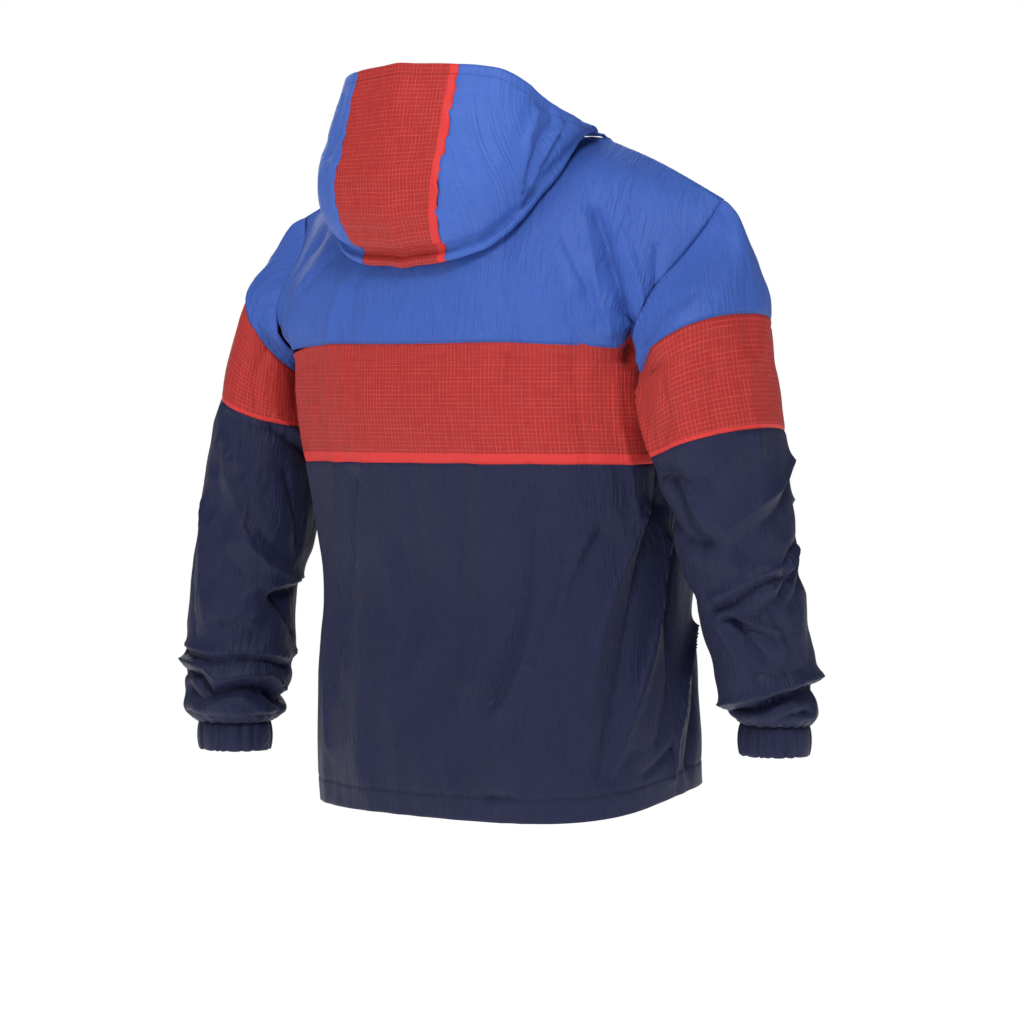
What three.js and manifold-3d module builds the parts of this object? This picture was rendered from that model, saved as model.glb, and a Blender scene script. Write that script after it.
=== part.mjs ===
import * as THREE from 'three';
import { mergeVertices } from 'three/addons/utils/BufferGeometryUtils.js';
import Module from 'manifold-3d';

// A hooded nylon windbreaker with a fallen hood, filled out as if worn. Millimetres, +Z up.
// The front faces -Y and the wearer's left is +X. The origin is at the middle of the neck,
// level with the highest point of the shoulders.

// Driving sizes
const WALL = 1.5;
const SEAM_GAP = 0.3;
const HEM = -700;
const HEM_TURN = 25;
const HEM_RISE = { right: 27, left: -3 };
const HEM_RISE_ENDS = -560;
const HEM_RISE_REACH = { from: 150, span: 230 };
const STRIPE_FOOT = -342;
const ARMPIT = -245;
const NECK = { half: 104, middle: -20, back: 82, front: 84, backHeight: -20, sideHeight: -10, frontHeight: -80 };
const SHOULDER = { out: 274, back: 8, height: -81 };
const SHOULDER_BOW = 5;
const YOKE_ROUND = 2.2;
const ARMHOLE_PULL = 3;
const QUARTER_LENGTH = 300;
const ZIP = { half: 12, coil: 2.6, foot: 3.8, slot: 0.15, ridge: 1.4 };
const CUFF = { columns: 54, rows: 2, gathers: 18, gather: 1.1, atSeam: 0.6, bulge: 1.5, inset: 1, height: 30 };

// How finely the surfaces are divided
const COLUMNS = { neck: 5, shoulder: 6 };
const ACROSS = COLUMNS.neck + COLUMNS.shoulder;
const ROWS = { lower: 9, stripe: 3, stripeAbovePit: 2 };
const HOOD_SPLIT = { back: 3, front: 2 };

// The body's sections, from the hem up: half width, half depth and squareness
const BODY = [
  { level: -700, wide: 207, deep: 147, square: 2.6 },
  { level: -650, wide: 210, deep: 149, square: 2.6 },
  { level: -560, wide: 207, deep: 147, square: 2.6 },
  { level: -475, wide: 199, deep: 141, square: 2.55 },
  { level: -418, wide: 206, deep: 147, square: 2.5 },
  { level: -345, wide: 219, deep: 159, square: 2.4 },
  { level: -290, wide: 228, deep: 168, square: 2.35 },
  { level: -245, wide: 230, deep: 168, square: 2.35 },
];

// Rows above the armpit: share of the height to the shoulder, and of the way round the armhole
const YOKE_ROWS = [
  { rise: 0.05, round: 0.14 },
  { rise: 0.1, round: 0.28 },
  { rise: 0.22, round: 0.38 },
  { rise: 0.36, round: 0.48 },
  { rise: 0.5, round: 0.59 },
  { rise: 0.64, round: 0.69 },
  { rise: 0.78, round: 0.8 },
  { rise: 0.91, round: 0.9 },
  { rise: 1, round: 1 },
];

// The armhole, from the armpit round the back or the front to the shoulder
const ARMHOLE = {
  back: [
    { out: 230, back: 0, height: ARMPIT },
    { out: 230, back: 56, height: -238 },
    { out: 231, back: 96, height: -216 },
    { out: 240, back: 96, height: -187 },
    { out: 247, back: 80, height: -163 },
    { out: 253, back: 53, height: -141 },
    { out: 261, back: 28, height: -114 },
    { out: SHOULDER.out, back: SHOULDER.back, height: SHOULDER.height },
  ],
  front: [
    { out: 230, back: 0, height: ARMPIT },
    { out: 229, back: -45, height: -238 },
    { out: 227, back: -74, height: -214 },
    { out: 228, back: -78, height: -188 },
    { out: 235, back: -66, height: -152 },
    { out: 247, back: -42, height: -122 },
    { out: 262, back: -16, height: -97 },
    { out: SHOULDER.out, back: SHOULDER.back, height: SHOULDER.height },
  ],
};

// The sleeves' rings below the cap: centre, half width, half depth, tilt with the outside up,
// and how far the ring drops to pass under the armpit
const SLEEVE = {
  right: [
    { level: -214, out: 290, back: 50, wide: 52, deep: 80, tilt: 22, pit: 24 },
    { level: -256, out: 293, back: 50, wide: 54, deep: 80, tilt: 20, pit: 10 },
    { level: -322, out: 296, back: 42, wide: 58, deep: 77, tilt: 17, pit: 0 },
    { level: -380, out: 298, back: 31, wide: 60, deep: 69, tilt: 12, pit: 0 },
    { level: -430, out: 302, back: 18, wide: 59, deep: 62, tilt: 8, pit: 0 },
    { level: -478, out: 307, back: 9, wide: 56, deep: 58, tilt: 4, pit: 0 },
    { level: -525, out: 312, back: -2, wide: 51, deep: 54, tilt: 2, pit: 0 },
    { level: -558, out: 315, back: -10, wide: 50, deep: 52, tilt: 2, pit: 0 },
    { level: -575, out: 316, back: -13, wide: 46, deep: 47, tilt: 3, pit: 0 },
    { level: -590, out: 317, back: -16, wide: 47, deep: 46, tilt: 1, pit: 0 },
    { level: -600, out: 318, back: -20, wide: 37, deep: 35, tilt: 0, pit: 0 },
  ],
  left: [
    { level: -186, out: 268, back: 34, wide: 41, deep: 70, tilt: 38, pit: 44 },
    { level: -228, out: 278, back: 38, wide: 46, deep: 70, tilt: 30, pit: 19 },
    { level: -288, out: 289, back: 45, wide: 51, deep: 68, tilt: 20, pit: 3 },
    { level: -360, out: 300, back: 52, wide: 57, deep: 64, tilt: 12, pit: 0 },
    { level: -425, out: 308, back: 57, wide: 60, deep: 62, tilt: 8, pit: 0 },
    { level: -482, out: 315, back: 62, wide: 59, deep: 60, tilt: 4, pit: 0 },
    { level: -540, out: 320, back: 66, wide: 60, deep: 60, tilt: 2, pit: 0 },
    { level: -575, out: 321, back: 68, wide: 61, deep: 60, tilt: 2, pit: 0 },
    { level: -597, out: 321, back: 69, wide: 56, deep: 56, tilt: 2, pit: 0 },
    { level: -614, out: 321, back: 71, wide: 57, deep: 55, tilt: 1, pit: 0 },
    { level: -627, out: 321, back: 73, wide: 43, deep: 38, tilt: 0, pit: 0 },
  ],
};
const SLEEVE_ROWS = { cap: 5, stripe: 4, lower: 12, closing: 1.35 };
const STRIPE_END = { right: -322, left: -287 };

// How the cap leaves the armhole and joins the sleeve's first ring
const CAP = {
  right: {
    top: { out: 80, down: 40, end: 95 },
    pit: { out: 8, down: 12, end: 14 },
    side: { out: 14, back: 22 },
  },
  left: {
    top: { out: 110, down: 10, end: 70 },
    pit: { out: 8, down: 12, end: 14 },
    side: { out: 14, back: 22 },
  },
};

// The hood's profile at angles round the neck, from the middle of the back (0) to the front (180)
const HOOD_STATIONS = [
  { at: 0, out: [0, 8, 50, 82, 101, 112, 109, 126, 138, 116], up: [0, 14, -8, -58, -124, -122, -112, -104, -50, 76] },
  { at: 30, out: [0, 8, 48, 82, 105, 114, 110, 124, 134, 104], up: [0, 14, -5, -50, -109, -107, -98, -88, -42, 64] },
  { at: 45, out: [0, 7, 34, 58, 75, 84, 81, 90, 90, 76], up: [0, 13, 4, -17, -48, -45, -34, -24, -4, 30] },
  { at: 60, out: [0, 5, 14, 26, 34, 42, 43, 48, 49, 44], up: [0, 10, 11, 4, -6, -4, 1, 5, 9, 14] },
  { at: 90, out: [0, 1, 2, 2.5, 3, 3, 3, 2, 1, -2], up: [0, 2, 3.5, 4, 4.5, 5, 5.5, 6, 7, 9] },
  { at: 135, out: [0, 1, 2, 2.5, 3, 4, 5, 6, 7, 8], up: [0, 3, 6, 8, 10, 12, 14, 16, 20, 26] },
  { at: 180, out: [0, 1, 2, 2.5, 3, 4, 5, 6, 8, 10], up: [0, 5, 10, 13, 15, 18, 21, 26, 34, 44] },
];
const HOOD_ROWS = 16;
const HOOD_BAND = 18;
const HOOD_BAND_REACH = 48;
const HOOD_LIFT = 0.4;

// How far the centre band's edges close in towards the back's middle, profile point by point
const BAND_TAPER = {
  right: [0, 0, 0, 0.1, 0.4, 0.42, 0.42, 0.42, 0.3, 0.04],
  left: [0, 0, 0, 0.1, 0.3, 0.35, 0.35, 0.25, 0.03, 0],
};

// A body fold fades over this share of its length at each end
const FOLD_END = 0.15;

// The largest folds of the body: from one point to another, seen from the back, and how deep
const BACK_FOLDS = [
  { fromX: -176, fromZ: -88, toX: -206, toZ: -200, half: 16, depth: -8 },
  { fromX: -150, fromZ: -120, toX: -184, toZ: -195, half: 20, depth: 3.6 },
  { fromX: 176, fromZ: -100, toX: 204, toZ: -198, half: 16, depth: -6.3 },
  { fromX: 60, fromZ: -400, toX: 78, toZ: -690, half: 20, depth: 4 },
  { fromX: 118, fromZ: -420, toX: 128, toZ: -690, half: 18, depth: -4 },
  { fromX: -60, fromZ: -500, toX: 10, toZ: -600, half: 20, depth: -4 },
  { fromX: -150, fromZ: -420, toX: -100, toZ: -680, half: 22, depth: 5 },
  { fromX: -196, fromZ: -520, toX: -186, toZ: -660, half: 18, depth: -5 },
];
const FRONT_FOLDS = [
  { fromX: -172, fromZ: -110, toX: -206, toZ: -198, half: 18, depth: -6.3 },
  { fromX: 172, fromZ: -110, toX: 206, toZ: -198, half: 18, depth: -6.3 },
  { fromX: -120, fromZ: -420, toX: -140, toZ: -680, half: 22, depth: 4 },
  { fromX: 110, fromZ: -400, toX: 140, toZ: -660, half: 22, depth: 4 },
  { fromX: 70, fromZ: -480, toX: 60, toZ: -690, half: 20, depth: -4 },
  { fromX: -70, fromZ: -460, toX: -60, toZ: -690, half: 20, depth: -4 },
  { fromX: -194, fromZ: -500, toX: -176, toZ: -660, half: 16, depth: -6 },
];

// Length round a sleeve for each degree of turn
const SLEEVE_DEGREE = 0.9;

// The sleeves' folds: where round the sleeve, its height, how far round, its slope and depth
const SLEEVE_FOLDS = {
  right: [
    { level: -300, turn: 90, reach: 60, slope: 0.4, half: 18, depth: -5 },
    { level: -372, turn: 60, reach: 70, slope: 0.5, half: 16, depth: -7 },
    { level: -430, turn: 150, reach: 60, slope: -0.3, half: 18, depth: 3 },
    { level: -462, turn: 100, reach: 80, slope: 0.5, half: 14, depth: -6 },
    { level: -500, turn: 110, reach: 80, slope: 0.35, half: 14, depth: -5 },
    { level: -470, turn: 300, reach: 70, slope: -0.4, half: 16, depth: -6 },
    { level: -545, turn: 40, reach: 90, slope: 0.2, half: 14, depth: -4 },
  ],
  left: [
    { level: -310, turn: 100, reach: 60, slope: 0.4, half: 18, depth: -4 },
    { level: -400, turn: 60, reach: 80, slope: 0.45, half: 18, depth: -5 },
    { level: -470, turn: 30, reach: 90, slope: 0.35, half: 16, depth: -6 },
    { level: -520, turn: 90, reach: 80, slope: -0.3, half: 16, depth: -4 },
    { level: -460, turn: 300, reach: 70, slope: -0.4, half: 16, depth: -5 },
    { level: -565, turn: 60, reach: 120, slope: 0.25, half: 13, depth: -5 },
  ],
};

// Zip slider and pull tab
const SLIDER = {
  width: 9, length: 12, thick: 2.6, lug: 1.4, lugLength: 5, lugHeight: 4.6, sink: 0.2,
  pin: 0.8, pinOut: 2.9, pinUp: 1.5, fromTop: 34, clear: 0.4,
};
const TAB = {
  width: 6, length: 27, thick: 1.5, eye: 2.1, bore: 1.15, eyeWidth: 3.6, play: 0.6, neck: 6,
  hole: { width: 2.4, length: 8, fromEnd: 9 }, lean: 3,
};
const ROUND_SIDES = 20;

// Points closer than these, in millimetres, are one point
const WELD = { seams: 0.02, solids: 1e-5 };

// Finishes
const FINISH = {
  blue: { color: 0x4a6dc0, roughness: 0.55, metalness: 0 },
  red: { color: 0xc83f3c, roughness: 0.55, metalness: 0 },
  navy: { color: 0x333755, roughness: 0.55, metalness: 0 },
  tape: { color: 0x2b2e45, roughness: 0.8, metalness: 0 },
  metal: { color: 0x3c3f4a, roughness: 0.4, metalness: 0.7 },
};

// Table reading: a smooth curve through the named column's values
function curveThrough(places, values, place) {
  const last = places.length - 1;
  const rising = places[last] > places[0];
  let i = 0;
  while (i < last - 1 && (rising ? place > places[i + 1] : place < places[i + 1])) i += 1;
  const t = THREE.MathUtils.clamp((place - places[i]) / (places[i + 1] - places[i]), 0, 1);
  const slope = (k) => {
    const a = Math.max(k - 1, 0);
    const b = Math.min(k + 1, last);
    return (values[b] - values[a]) / (places[b] - places[a]);
  };
  const span = places[i + 1] - places[i];
  const h00 = 2 * t ** 3 - 3 * t ** 2 + 1;
  const h10 = t ** 3 - 2 * t ** 2 + t;
  const h01 = -2 * t ** 3 + 3 * t ** 2;
  const h11 = t ** 3 - t ** 2;
  return h00 * values[i] + h10 * span * slope(i) + h01 * values[i + 1] + h11 * span * slope(i + 1);
}

function fromTable(table, by, key, place) {
  return curveThrough(table.map((row) => row[by]), table.map((row) => row[key]), place);
}

function smooth(t) {
  const c = THREE.MathUtils.clamp(t, 0, 1);
  return c * c * (3 - 2 * c);
}

// Body sections below the armpit
const QUARTER_STEPS = 60;

function sectionPoint(level, front, turn) {
  const wide = fromTable(BODY, 'level', 'wide', level);
  const deep = fromTable(BODY, 'level', 'deep', level);
  const power = 2 / fromTable(BODY, 'level', 'square', level);
  const x = wide * Math.sin(turn) ** power;
  const y = deep * Math.cos(turn) ** power * (front ? -1 : 1);
  return new THREE.Vector3(x, y, level);
}

// A point of the wearer's left half, by its share of the way from the middle to the side
function quarterPoint(level, front, share) {
  const points = [];
  for (let i = 0; i <= QUARTER_STEPS; i += 1) {
    points.push(sectionPoint(level, front, i / QUARTER_STEPS * Math.PI / 2));
  }
  const lengths = [0];
  for (let i = 1; i < points.length; i += 1) lengths.push(lengths[i - 1] + points[i].distanceTo(points[i - 1]));
  const target = share * lengths[lengths.length - 1];
  let i = 1;
  while (i < lengths.length - 1 && lengths[i] < target) i += 1;
  const t = (target - lengths[i - 1]) / (lengths[i] - lengths[i - 1]);
  const point = points[i - 1].clone().lerp(points[i], t);
  if (share === 1) point.y = 0;
  return point;
}

function liftHem(point) {
  const forward = smooth((HEM_RISE_REACH.from - point.y) / HEM_RISE_REACH.span);
  const low = smooth((HEM_RISE_ENDS - point.z) / (HEM_RISE_ENDS - HEM));
  const leftness = smooth((point.x + BODY[0].wide) / (2 * BODY[0].wide));
  point.z += THREE.MathUtils.lerp(HEM_RISE.right, HEM_RISE.left, leftness) * forward * low;
  return point;
}

// The neckline, by the angle round the neck from the middle of the back
function necklinePoint(angle) {
  const turn = THREE.MathUtils.degToRad(angle);
  const cosine = Math.cos(turn);
  const reach = cosine > 0 ? NECK.back : NECK.front;
  const end = cosine > 0 ? NECK.backHeight : NECK.frontHeight;
  const height = NECK.sideHeight + (end - NECK.sideHeight) * cosine ** 2;
  return new THREE.Vector3(NECK.half * Math.sin(turn), NECK.middle + reach * cosine, height);
}

// The upper edge of a panel at a column: neckline, then shoulder seam
function topPoint(front, column) {
  const frontEnd = THREE.MathUtils.radToDeg(Math.asin(ZIP.half / NECK.half));
  if (column <= COLUMNS.neck) {
    const share = column / COLUMNS.neck;
    return necklinePoint(front ? 180 - frontEnd - (90 - frontEnd) * share : 90 * share);
  }
  const t = (column - COLUMNS.neck) / COLUMNS.shoulder;
  const seam = necklinePoint(90).lerp(new THREE.Vector3(SHOULDER.out, SHOULDER.back, SHOULDER.height), t);
  seam.z += SHOULDER_BOW * Math.sin(Math.PI * t);
  return seam;
}

function armholeCurve(front) {
  const points = ARMHOLE[front ? 'front' : 'back'];
  return new THREE.CatmullRomCurve3(points.map((p) => new THREE.Vector3(p.out, p.back, p.height)), false, 'centripetal');
}

const ARMHOLES = { back: armholeCurve(false), front: armholeCurve(true) };

// The shares of a level's quarter at which the cloth's columns lie
function columnShare(front, column) {
  if (!front) return column / ACROSS;
  const start = ZIP.half / QUARTER_LENGTH;
  return start + (1 - start) * column / ACROSS;
}

// How much of the section a yoke row keeps: the armhole has taken the rest
function shareLeft(front, row) {
  const curve = ARMHOLES[front ? 'front' : 'back'];
  const reach = Math.max(...YOKE_ROWS.slice(0, row + 1).map(({ round }) => Math.abs(curve.getPointAt(round).y)));
  let low = 0;
  let high = 1;
  for (let i = 0; i < 20; i += 1) {
    const middle = (low + high) / 2;
    if (Math.abs(quarterPoint(ARMPIT, front, middle).y) > reach) low = middle;
    else high = middle;
  }
  return low;
}

function yokePoint(front, column, row, left) {
  const { rise } = YOKE_ROWS[row];
  const low = quarterPoint(ARMPIT, front, columnShare(front, column) * left);
  const high = topPoint(front, column);
  const depth = Math.max(0, 1 - rise ** YOKE_ROUND) ** (1 / YOKE_ROUND);
  return new THREE.Vector3(
    THREE.MathUtils.lerp(low.x, high.x, smooth(rise)),
    high.y + (low.y - high.y) * depth,
    THREE.MathUtils.lerp(low.z, high.z, rise),
  );
}

// All rows of a half panel, from the hem to the shoulder, as points of the wearer's left half
function bodyLevels() {
  const levels = [HEM];
  const start = HEM + HEM_TURN;
  for (let i = 0; i <= ROWS.lower; i += 1) levels.push(start + (STRIPE_FOOT - start) * i / ROWS.lower);
  for (let i = 1; i <= ROWS.stripe; i += 1) levels.push(STRIPE_FOOT + (ARMPIT - STRIPE_FOOT) * i / ROWS.stripe);
  return levels;
}

function halfPanel(front) {
  const rows = bodyLevels().map((level) => {
    const row = [];
    for (let c = 0; c <= ACROSS; c += 1) row.push(quarterPoint(level, front, columnShare(front, c)));
    return row;
  });
  YOKE_ROWS.forEach(({ round }, k) => {
    const left = shareLeft(front, k);
    const edge = ARMHOLES[front ? 'front' : 'back'].getPointAt(round);
    const miss = edge.clone().sub(yokePoint(front, ACROSS, k, left));
    const row = [];
    for (let c = 0; c <= ACROSS; c += 1) {
      const weight = (c / ACROSS) ** ARMHOLE_PULL;
      row.push(c === ACROSS ? edge : yokePoint(front, c, k, left).addScaledVector(miss, weight));
    }
    rows.push(row);
  });
  // The top row is the neckline and shoulder seam, with no pull from the armhole
  const top = rows[rows.length - 1];
  for (let c = 0; c < ACROSS; c += 1) top[c] = topPoint(front, c);
  return rows;
}

function foldDepth(folds, point) {
  let depth = 0;
  for (const fold of folds) {
    const from = new THREE.Vector2(fold.fromX, fold.fromZ);
    const along = new THREE.Vector2(fold.toX, fold.toZ).sub(from);
    const offset = new THREE.Vector2(point.x, point.z).sub(from);
    const t = offset.dot(along) / along.lengthSq();
    const ends = smooth((FOLD_END + t) / (2 * FOLD_END)) * smooth((1 + FOLD_END - t) / (2 * FOLD_END));
    const across = Math.abs(offset.cross(along)) / along.length();
    depth += fold.depth * ends * Math.exp(-((across / fold.half) ** 2));
  }
  return depth;
}

function mirrored(rows) {
  return rows.map((row) => row.map((p) => new THREE.Vector3(-p.x, p.y, p.z)));
}

// Pushes the folds into a panel along the direction away from the body's middle
function foldPanel(rows, folds, fixedTop) {
  rows.forEach((row, i) => {
    if (i === 0 || i >= rows.length - fixedTop) return;
    row.forEach((point, c) => {
      if (c === row.length - 1 || c === 0) return;
      const outward = new THREE.Vector3(point.x * 0.5, point.y, 0).normalize();
      point.addScaledVector(outward, foldDepth(folds, point));
    });
  });
  return rows;
}

const backLeft = halfPanel(false);
const backRight = mirrored(backLeft);
const backRows = backLeft.map((row, i) => [...backRight[i].slice(1).reverse(), ...row]);
const frontLeft = halfPanel(true);
const frontRight = mirrored(halfPanel(true));
[backRows, frontLeft, frontRight].flat(2).forEach(liftHem);
const BACK = foldPanel(backRows, BACK_FOLDS, 1);
const FRONT_LEFT = foldPanel(frontLeft, FRONT_FOLDS, 1);
const FRONT_RIGHT = foldPanel(frontRight, FRONT_FOLDS, 1);

// Zip tapes run on from the fronts' edges to the middle, with the coil raised beside the slot
function tapeRows(front, side) {
  return front.map((row) => {
    const edge = row[0];
    const inner = edge.clone().setX(side * ZIP.slot);
    const ridge = edge.clone().setX(side * ZIP.coil);
    inner.y -= ZIP.ridge;
    ridge.y -= ZIP.ridge;
    const foot = edge.clone().setX(side * ZIP.foot);
    return [inner, ridge, foot, edge.clone()];
  });
}

// Sleeves: the armhole's points, then rings down to the wrist
const ROUND = 2 * YOKE_ROWS.length;

function armholeLoop(side) {
  const loop = [];
  const place = (curve, share) => {
    const p = curve.getPointAt(share);
    return new THREE.Vector3(side * p.x, p.y, p.z);
  };
  loop.push(place(ARMHOLES.back, 0));
  YOKE_ROWS.forEach(({ round }) => loop.push(place(ARMHOLES.back, round)));
  for (let k = YOKE_ROWS.length - 2; k >= 0; k -= 1) loop.push(place(ARMHOLES.front, YOKE_ROWS[k].round));
  return loop;
}

function sleeveFold(folds, level, turn) {
  let depth = 0;
  for (const fold of folds) {
    const away = THREE.MathUtils.euclideanModulo(turn - fold.turn + 180, 360) - 180;
    const drop = (level - fold.level - fold.slope * away * SLEEVE_DEGREE) / fold.half;
    depth += fold.depth * Math.exp(-(drop ** 2)) * smooth(1.3 - Math.abs(away) / fold.reach);
  }
  return depth;
}

function sleeveRing(which, side, level, columns, folded = true) {
  const table = SLEEVE[which];
  const read = (key) => fromTable(table, 'level', key, level);
  const tilt = THREE.MathUtils.degToRad(read('tilt'));
  // The inner column is turned forward to meet the armpit
  const lead = Math.asin(table[0].back / table[0].deep);
  const ring = [];
  for (let c = 0; c < columns; c += 1) {
    const even = 2 * Math.PI * c / columns;
    const turn = even - lead * (1 + Math.cos(even)) / 2;
    const fold = folded ? sleeveFold(SLEEVE_FOLDS[which], level, THREE.MathUtils.radToDeg(turn)) : 0;
    const wide = (read('wide') + fold) * -Math.cos(turn);
    const deep = (read('deep') + fold) * Math.sin(turn);
    ring.push(new THREE.Vector3(
      side * (read('out') + wide * Math.cos(tilt)),
      read('back') + deep,
      level + wide * Math.sin(tilt) - read('pit') * ((1 + Math.cos(turn)) / 2) ** 2,
    ));
  }
  return ring;
}

function sleeveRows(which, side) {
  const table = SLEEVE[which];
  const first = table[0].level;
  const last = table[table.length - 1].level;
  const loop = armholeLoop(side);
  const ring = sleeveRing(which, side, first, ROUND);
  const cap = CAP[which];
  const rows = [loop];
  for (let k = 1; k <= SLEEVE_ROWS.cap; k += 1) {
    const t = k / SLEEVE_ROWS.cap;
    rows.push(loop.map((start, c) => {
      const turn = 2 * Math.PI * c / ROUND;
      const topness = (1 - Math.cos(turn)) / 2;
      const mix = (key) => THREE.MathUtils.lerp(cap.pit[key], cap.top[key], topness);
      const around = Math.sin(turn);
      const leave = new THREE.Vector3(
        side * (mix('out') + cap.side.out * Math.abs(around)),
        cap.side.back * around,
        -mix('down'),
      );
      const arrive = new THREE.Vector3(0, 0, -mix('end'));
      const end = ring[c];
      return start.clone().multiplyScalar(2 * t ** 3 - 3 * t ** 2 + 1)
        .addScaledVector(leave, t ** 3 - 2 * t ** 2 + t)
        .addScaledVector(end, -2 * t ** 3 + 3 * t ** 2)
        .addScaledVector(arrive, t ** 3 - t ** 2);
    }));
  }
  const stripeEnd = STRIPE_END[which];
  for (let k = 1; k <= SLEEVE_ROWS.stripe; k += 1) {
    rows.push(sleeveRing(which, side, first + (stripeEnd - first) * k / SLEEVE_ROWS.stripe, ROUND));
  }
  // Rows close up towards the wrist, where the cloth is stacked
  for (let k = 1; k <= SLEEVE_ROWS.lower; k += 1) {
    const share = 1 - (1 - k / SLEEVE_ROWS.lower) ** SLEEVE_ROWS.closing;
    rows.push(sleeveRing(which, side, stripeEnd + (last - stripeEnd) * share, ROUND, k < SLEEVE_ROWS.lower));
  }
  return rows;
}

function cuffRows(which, side) {
  const table = SLEEVE[which];
  const last = table[table.length - 1];
  const rows = [];
  for (let k = 0; k <= CUFF.rows; k += 1) {
    const share = k / CUFF.rows;
    const bulge = CUFF.bulge * Math.sin(Math.PI * share) - CUFF.inset;
    const row = [];
    for (let c = 0; c < CUFF.columns; c += 1) {
      const turn = 2 * Math.PI * c / CUFF.columns;
      const wave = CUFF.gather * (Math.cos(CUFF.gathers * turn) - 1) * THREE.MathUtils.lerp(CUFF.atSeam, 1, share);
      row.push(new THREE.Vector3(
        side * (last.out - (last.wide + wave + bulge) * Math.cos(turn)),
        last.back + (last.deep + wave + bulge) * Math.sin(turn),
        last.level - SEAM_GAP - CUFF.height * share,
      ));
    }
    rows.push(row);
  }
  return rows;
}

// The hood, from the neck seam over the roll and the bag to the rim
function hoodNeckPoints() {
  const neck = [];
  const add = (from, to, parts, angleFrom, angleTo) => {
    for (let i = 0; i < parts; i += 1) {
      const t = i / parts;
      neck.push({ point: from.clone().lerp(to, t), angle: THREE.MathUtils.lerp(angleFrom, angleTo, t) });
    }
  };
  const frontEnd = THREE.MathUtils.radToDeg(Math.asin(ZIP.half / NECK.half));
  const backAngle = (c) => 90 * c / COLUMNS.neck;
  const frontAngle = (c) => 180 - frontEnd - (90 - frontEnd) * c / COLUMNS.neck;
  const put = (point, side) => new THREE.Vector3(side * point.x, point.y, point.z);
  for (let c = 0; c < COLUMNS.neck; c += 1) {
    add(put(topPoint(true, c), -1), put(topPoint(true, c + 1), -1), HOOD_SPLIT.front, -frontAngle(c), -frontAngle(c + 1));
  }
  for (let c = COLUMNS.neck; c > 0; c -= 1) {
    add(put(topPoint(false, c), -1), put(topPoint(false, c - 1), -1), HOOD_SPLIT.back, -backAngle(c), -backAngle(c - 1));
  }
  for (let c = 0; c < COLUMNS.neck; c += 1) {
    add(put(topPoint(false, c), 1), put(topPoint(false, c + 1), 1), HOOD_SPLIT.back, backAngle(c), backAngle(c + 1));
  }
  for (let c = COLUMNS.neck; c > 0; c -= 1) {
    add(put(topPoint(true, c), 1), put(topPoint(true, c - 1), 1), HOOD_SPLIT.front, frontAngle(c), frontAngle(c - 1));
  }
  neck.push({ point: put(topPoint(true, 0), 1), angle: frontAngle(0) });
  return neck;
}

function hoodRows() {
  const neck = hoodNeckPoints();
  const places = HOOD_STATIONS.map((station) => station.at);
  const features = HOOD_STATIONS[0].out.length;
  const rows = [];
  for (let r = 0; r <= HOOD_ROWS; r += 1) {
    const along = r / HOOD_ROWS * (features - 1);
    rows.push(neck.map(({ point, angle }) => {
      const turn = THREE.MathUtils.degToRad(angle);
      const order = [...Array(features).keys()];
      const outs = order.map((f) => curveThrough(places, HOOD_STATIONS.map((s) => s.out[f]), Math.abs(angle)));
      const ups = order.map((f) => curveThrough(places, HOOD_STATIONS.map((s) => s.up[f]), Math.abs(angle)));
      const out = curveThrough(order, outs, along);
      const up = curveThrough(order, ups, along);
      const taper = curveThrough(order, BAND_TAPER[angle < 0 ? 'right' : 'left'], along);
      const nearBand = 1 - smooth((Math.abs(angle) - HOOD_BAND) / (HOOD_BAND_REACH - HOOD_BAND));
      const way = turn * (1 - taper * nearBand);
      return new THREE.Vector3(
        point.x + out * Math.sin(way),
        point.y + out * Math.cos(way),
        point.z + up + HOOD_LIFT,
      );
    }));
  }
  return { rows, angles: neck.map((n) => n.angle) };
}

// Surfaces that share seams are welded, so that their normals agree there
function keyOf(point) {
  return [point.x, point.y, point.z].map((v) => Math.round(v / WELD.seams)).join(',');
}

function facesOf(rows, closed) {
  const faces = [];
  const count = rows[0].length;
  const width = closed ? count : count - 1;
  for (let i = 0; i < rows.length - 1; i += 1) {
    for (let j = 0; j < width; j += 1) {
      faces.push([[i, j], [i, (j + 1) % count], [i + 1, (j + 1) % count], [i + 1, j]]);
    }
  }
  return faces;
}

function addNormals(sums, surface) {
  const { rows, closed, flip } = surface;
  for (const face of facesOf(rows, closed)) {
    const [a, b, c, d] = face.map(([i, j]) => rows[i][j]);
    const normal = new THREE.Vector3().crossVectors(c.clone().sub(a), d.clone().sub(b));
    if (flip) normal.negate();
    normal.normalize();
    for (const point of [a, b, c, d]) {
      const key = keyOf(point);
      if (!sums.has(key)) sums.set(key, new THREE.Vector3());
      sums.get(key).add(normal);
    }
  }
}

function normalsFor(surface, sums) {
  return surface.rows.map((row) => row.map((point) => sums.get(keyOf(point)).clone().normalize()));
}

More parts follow.
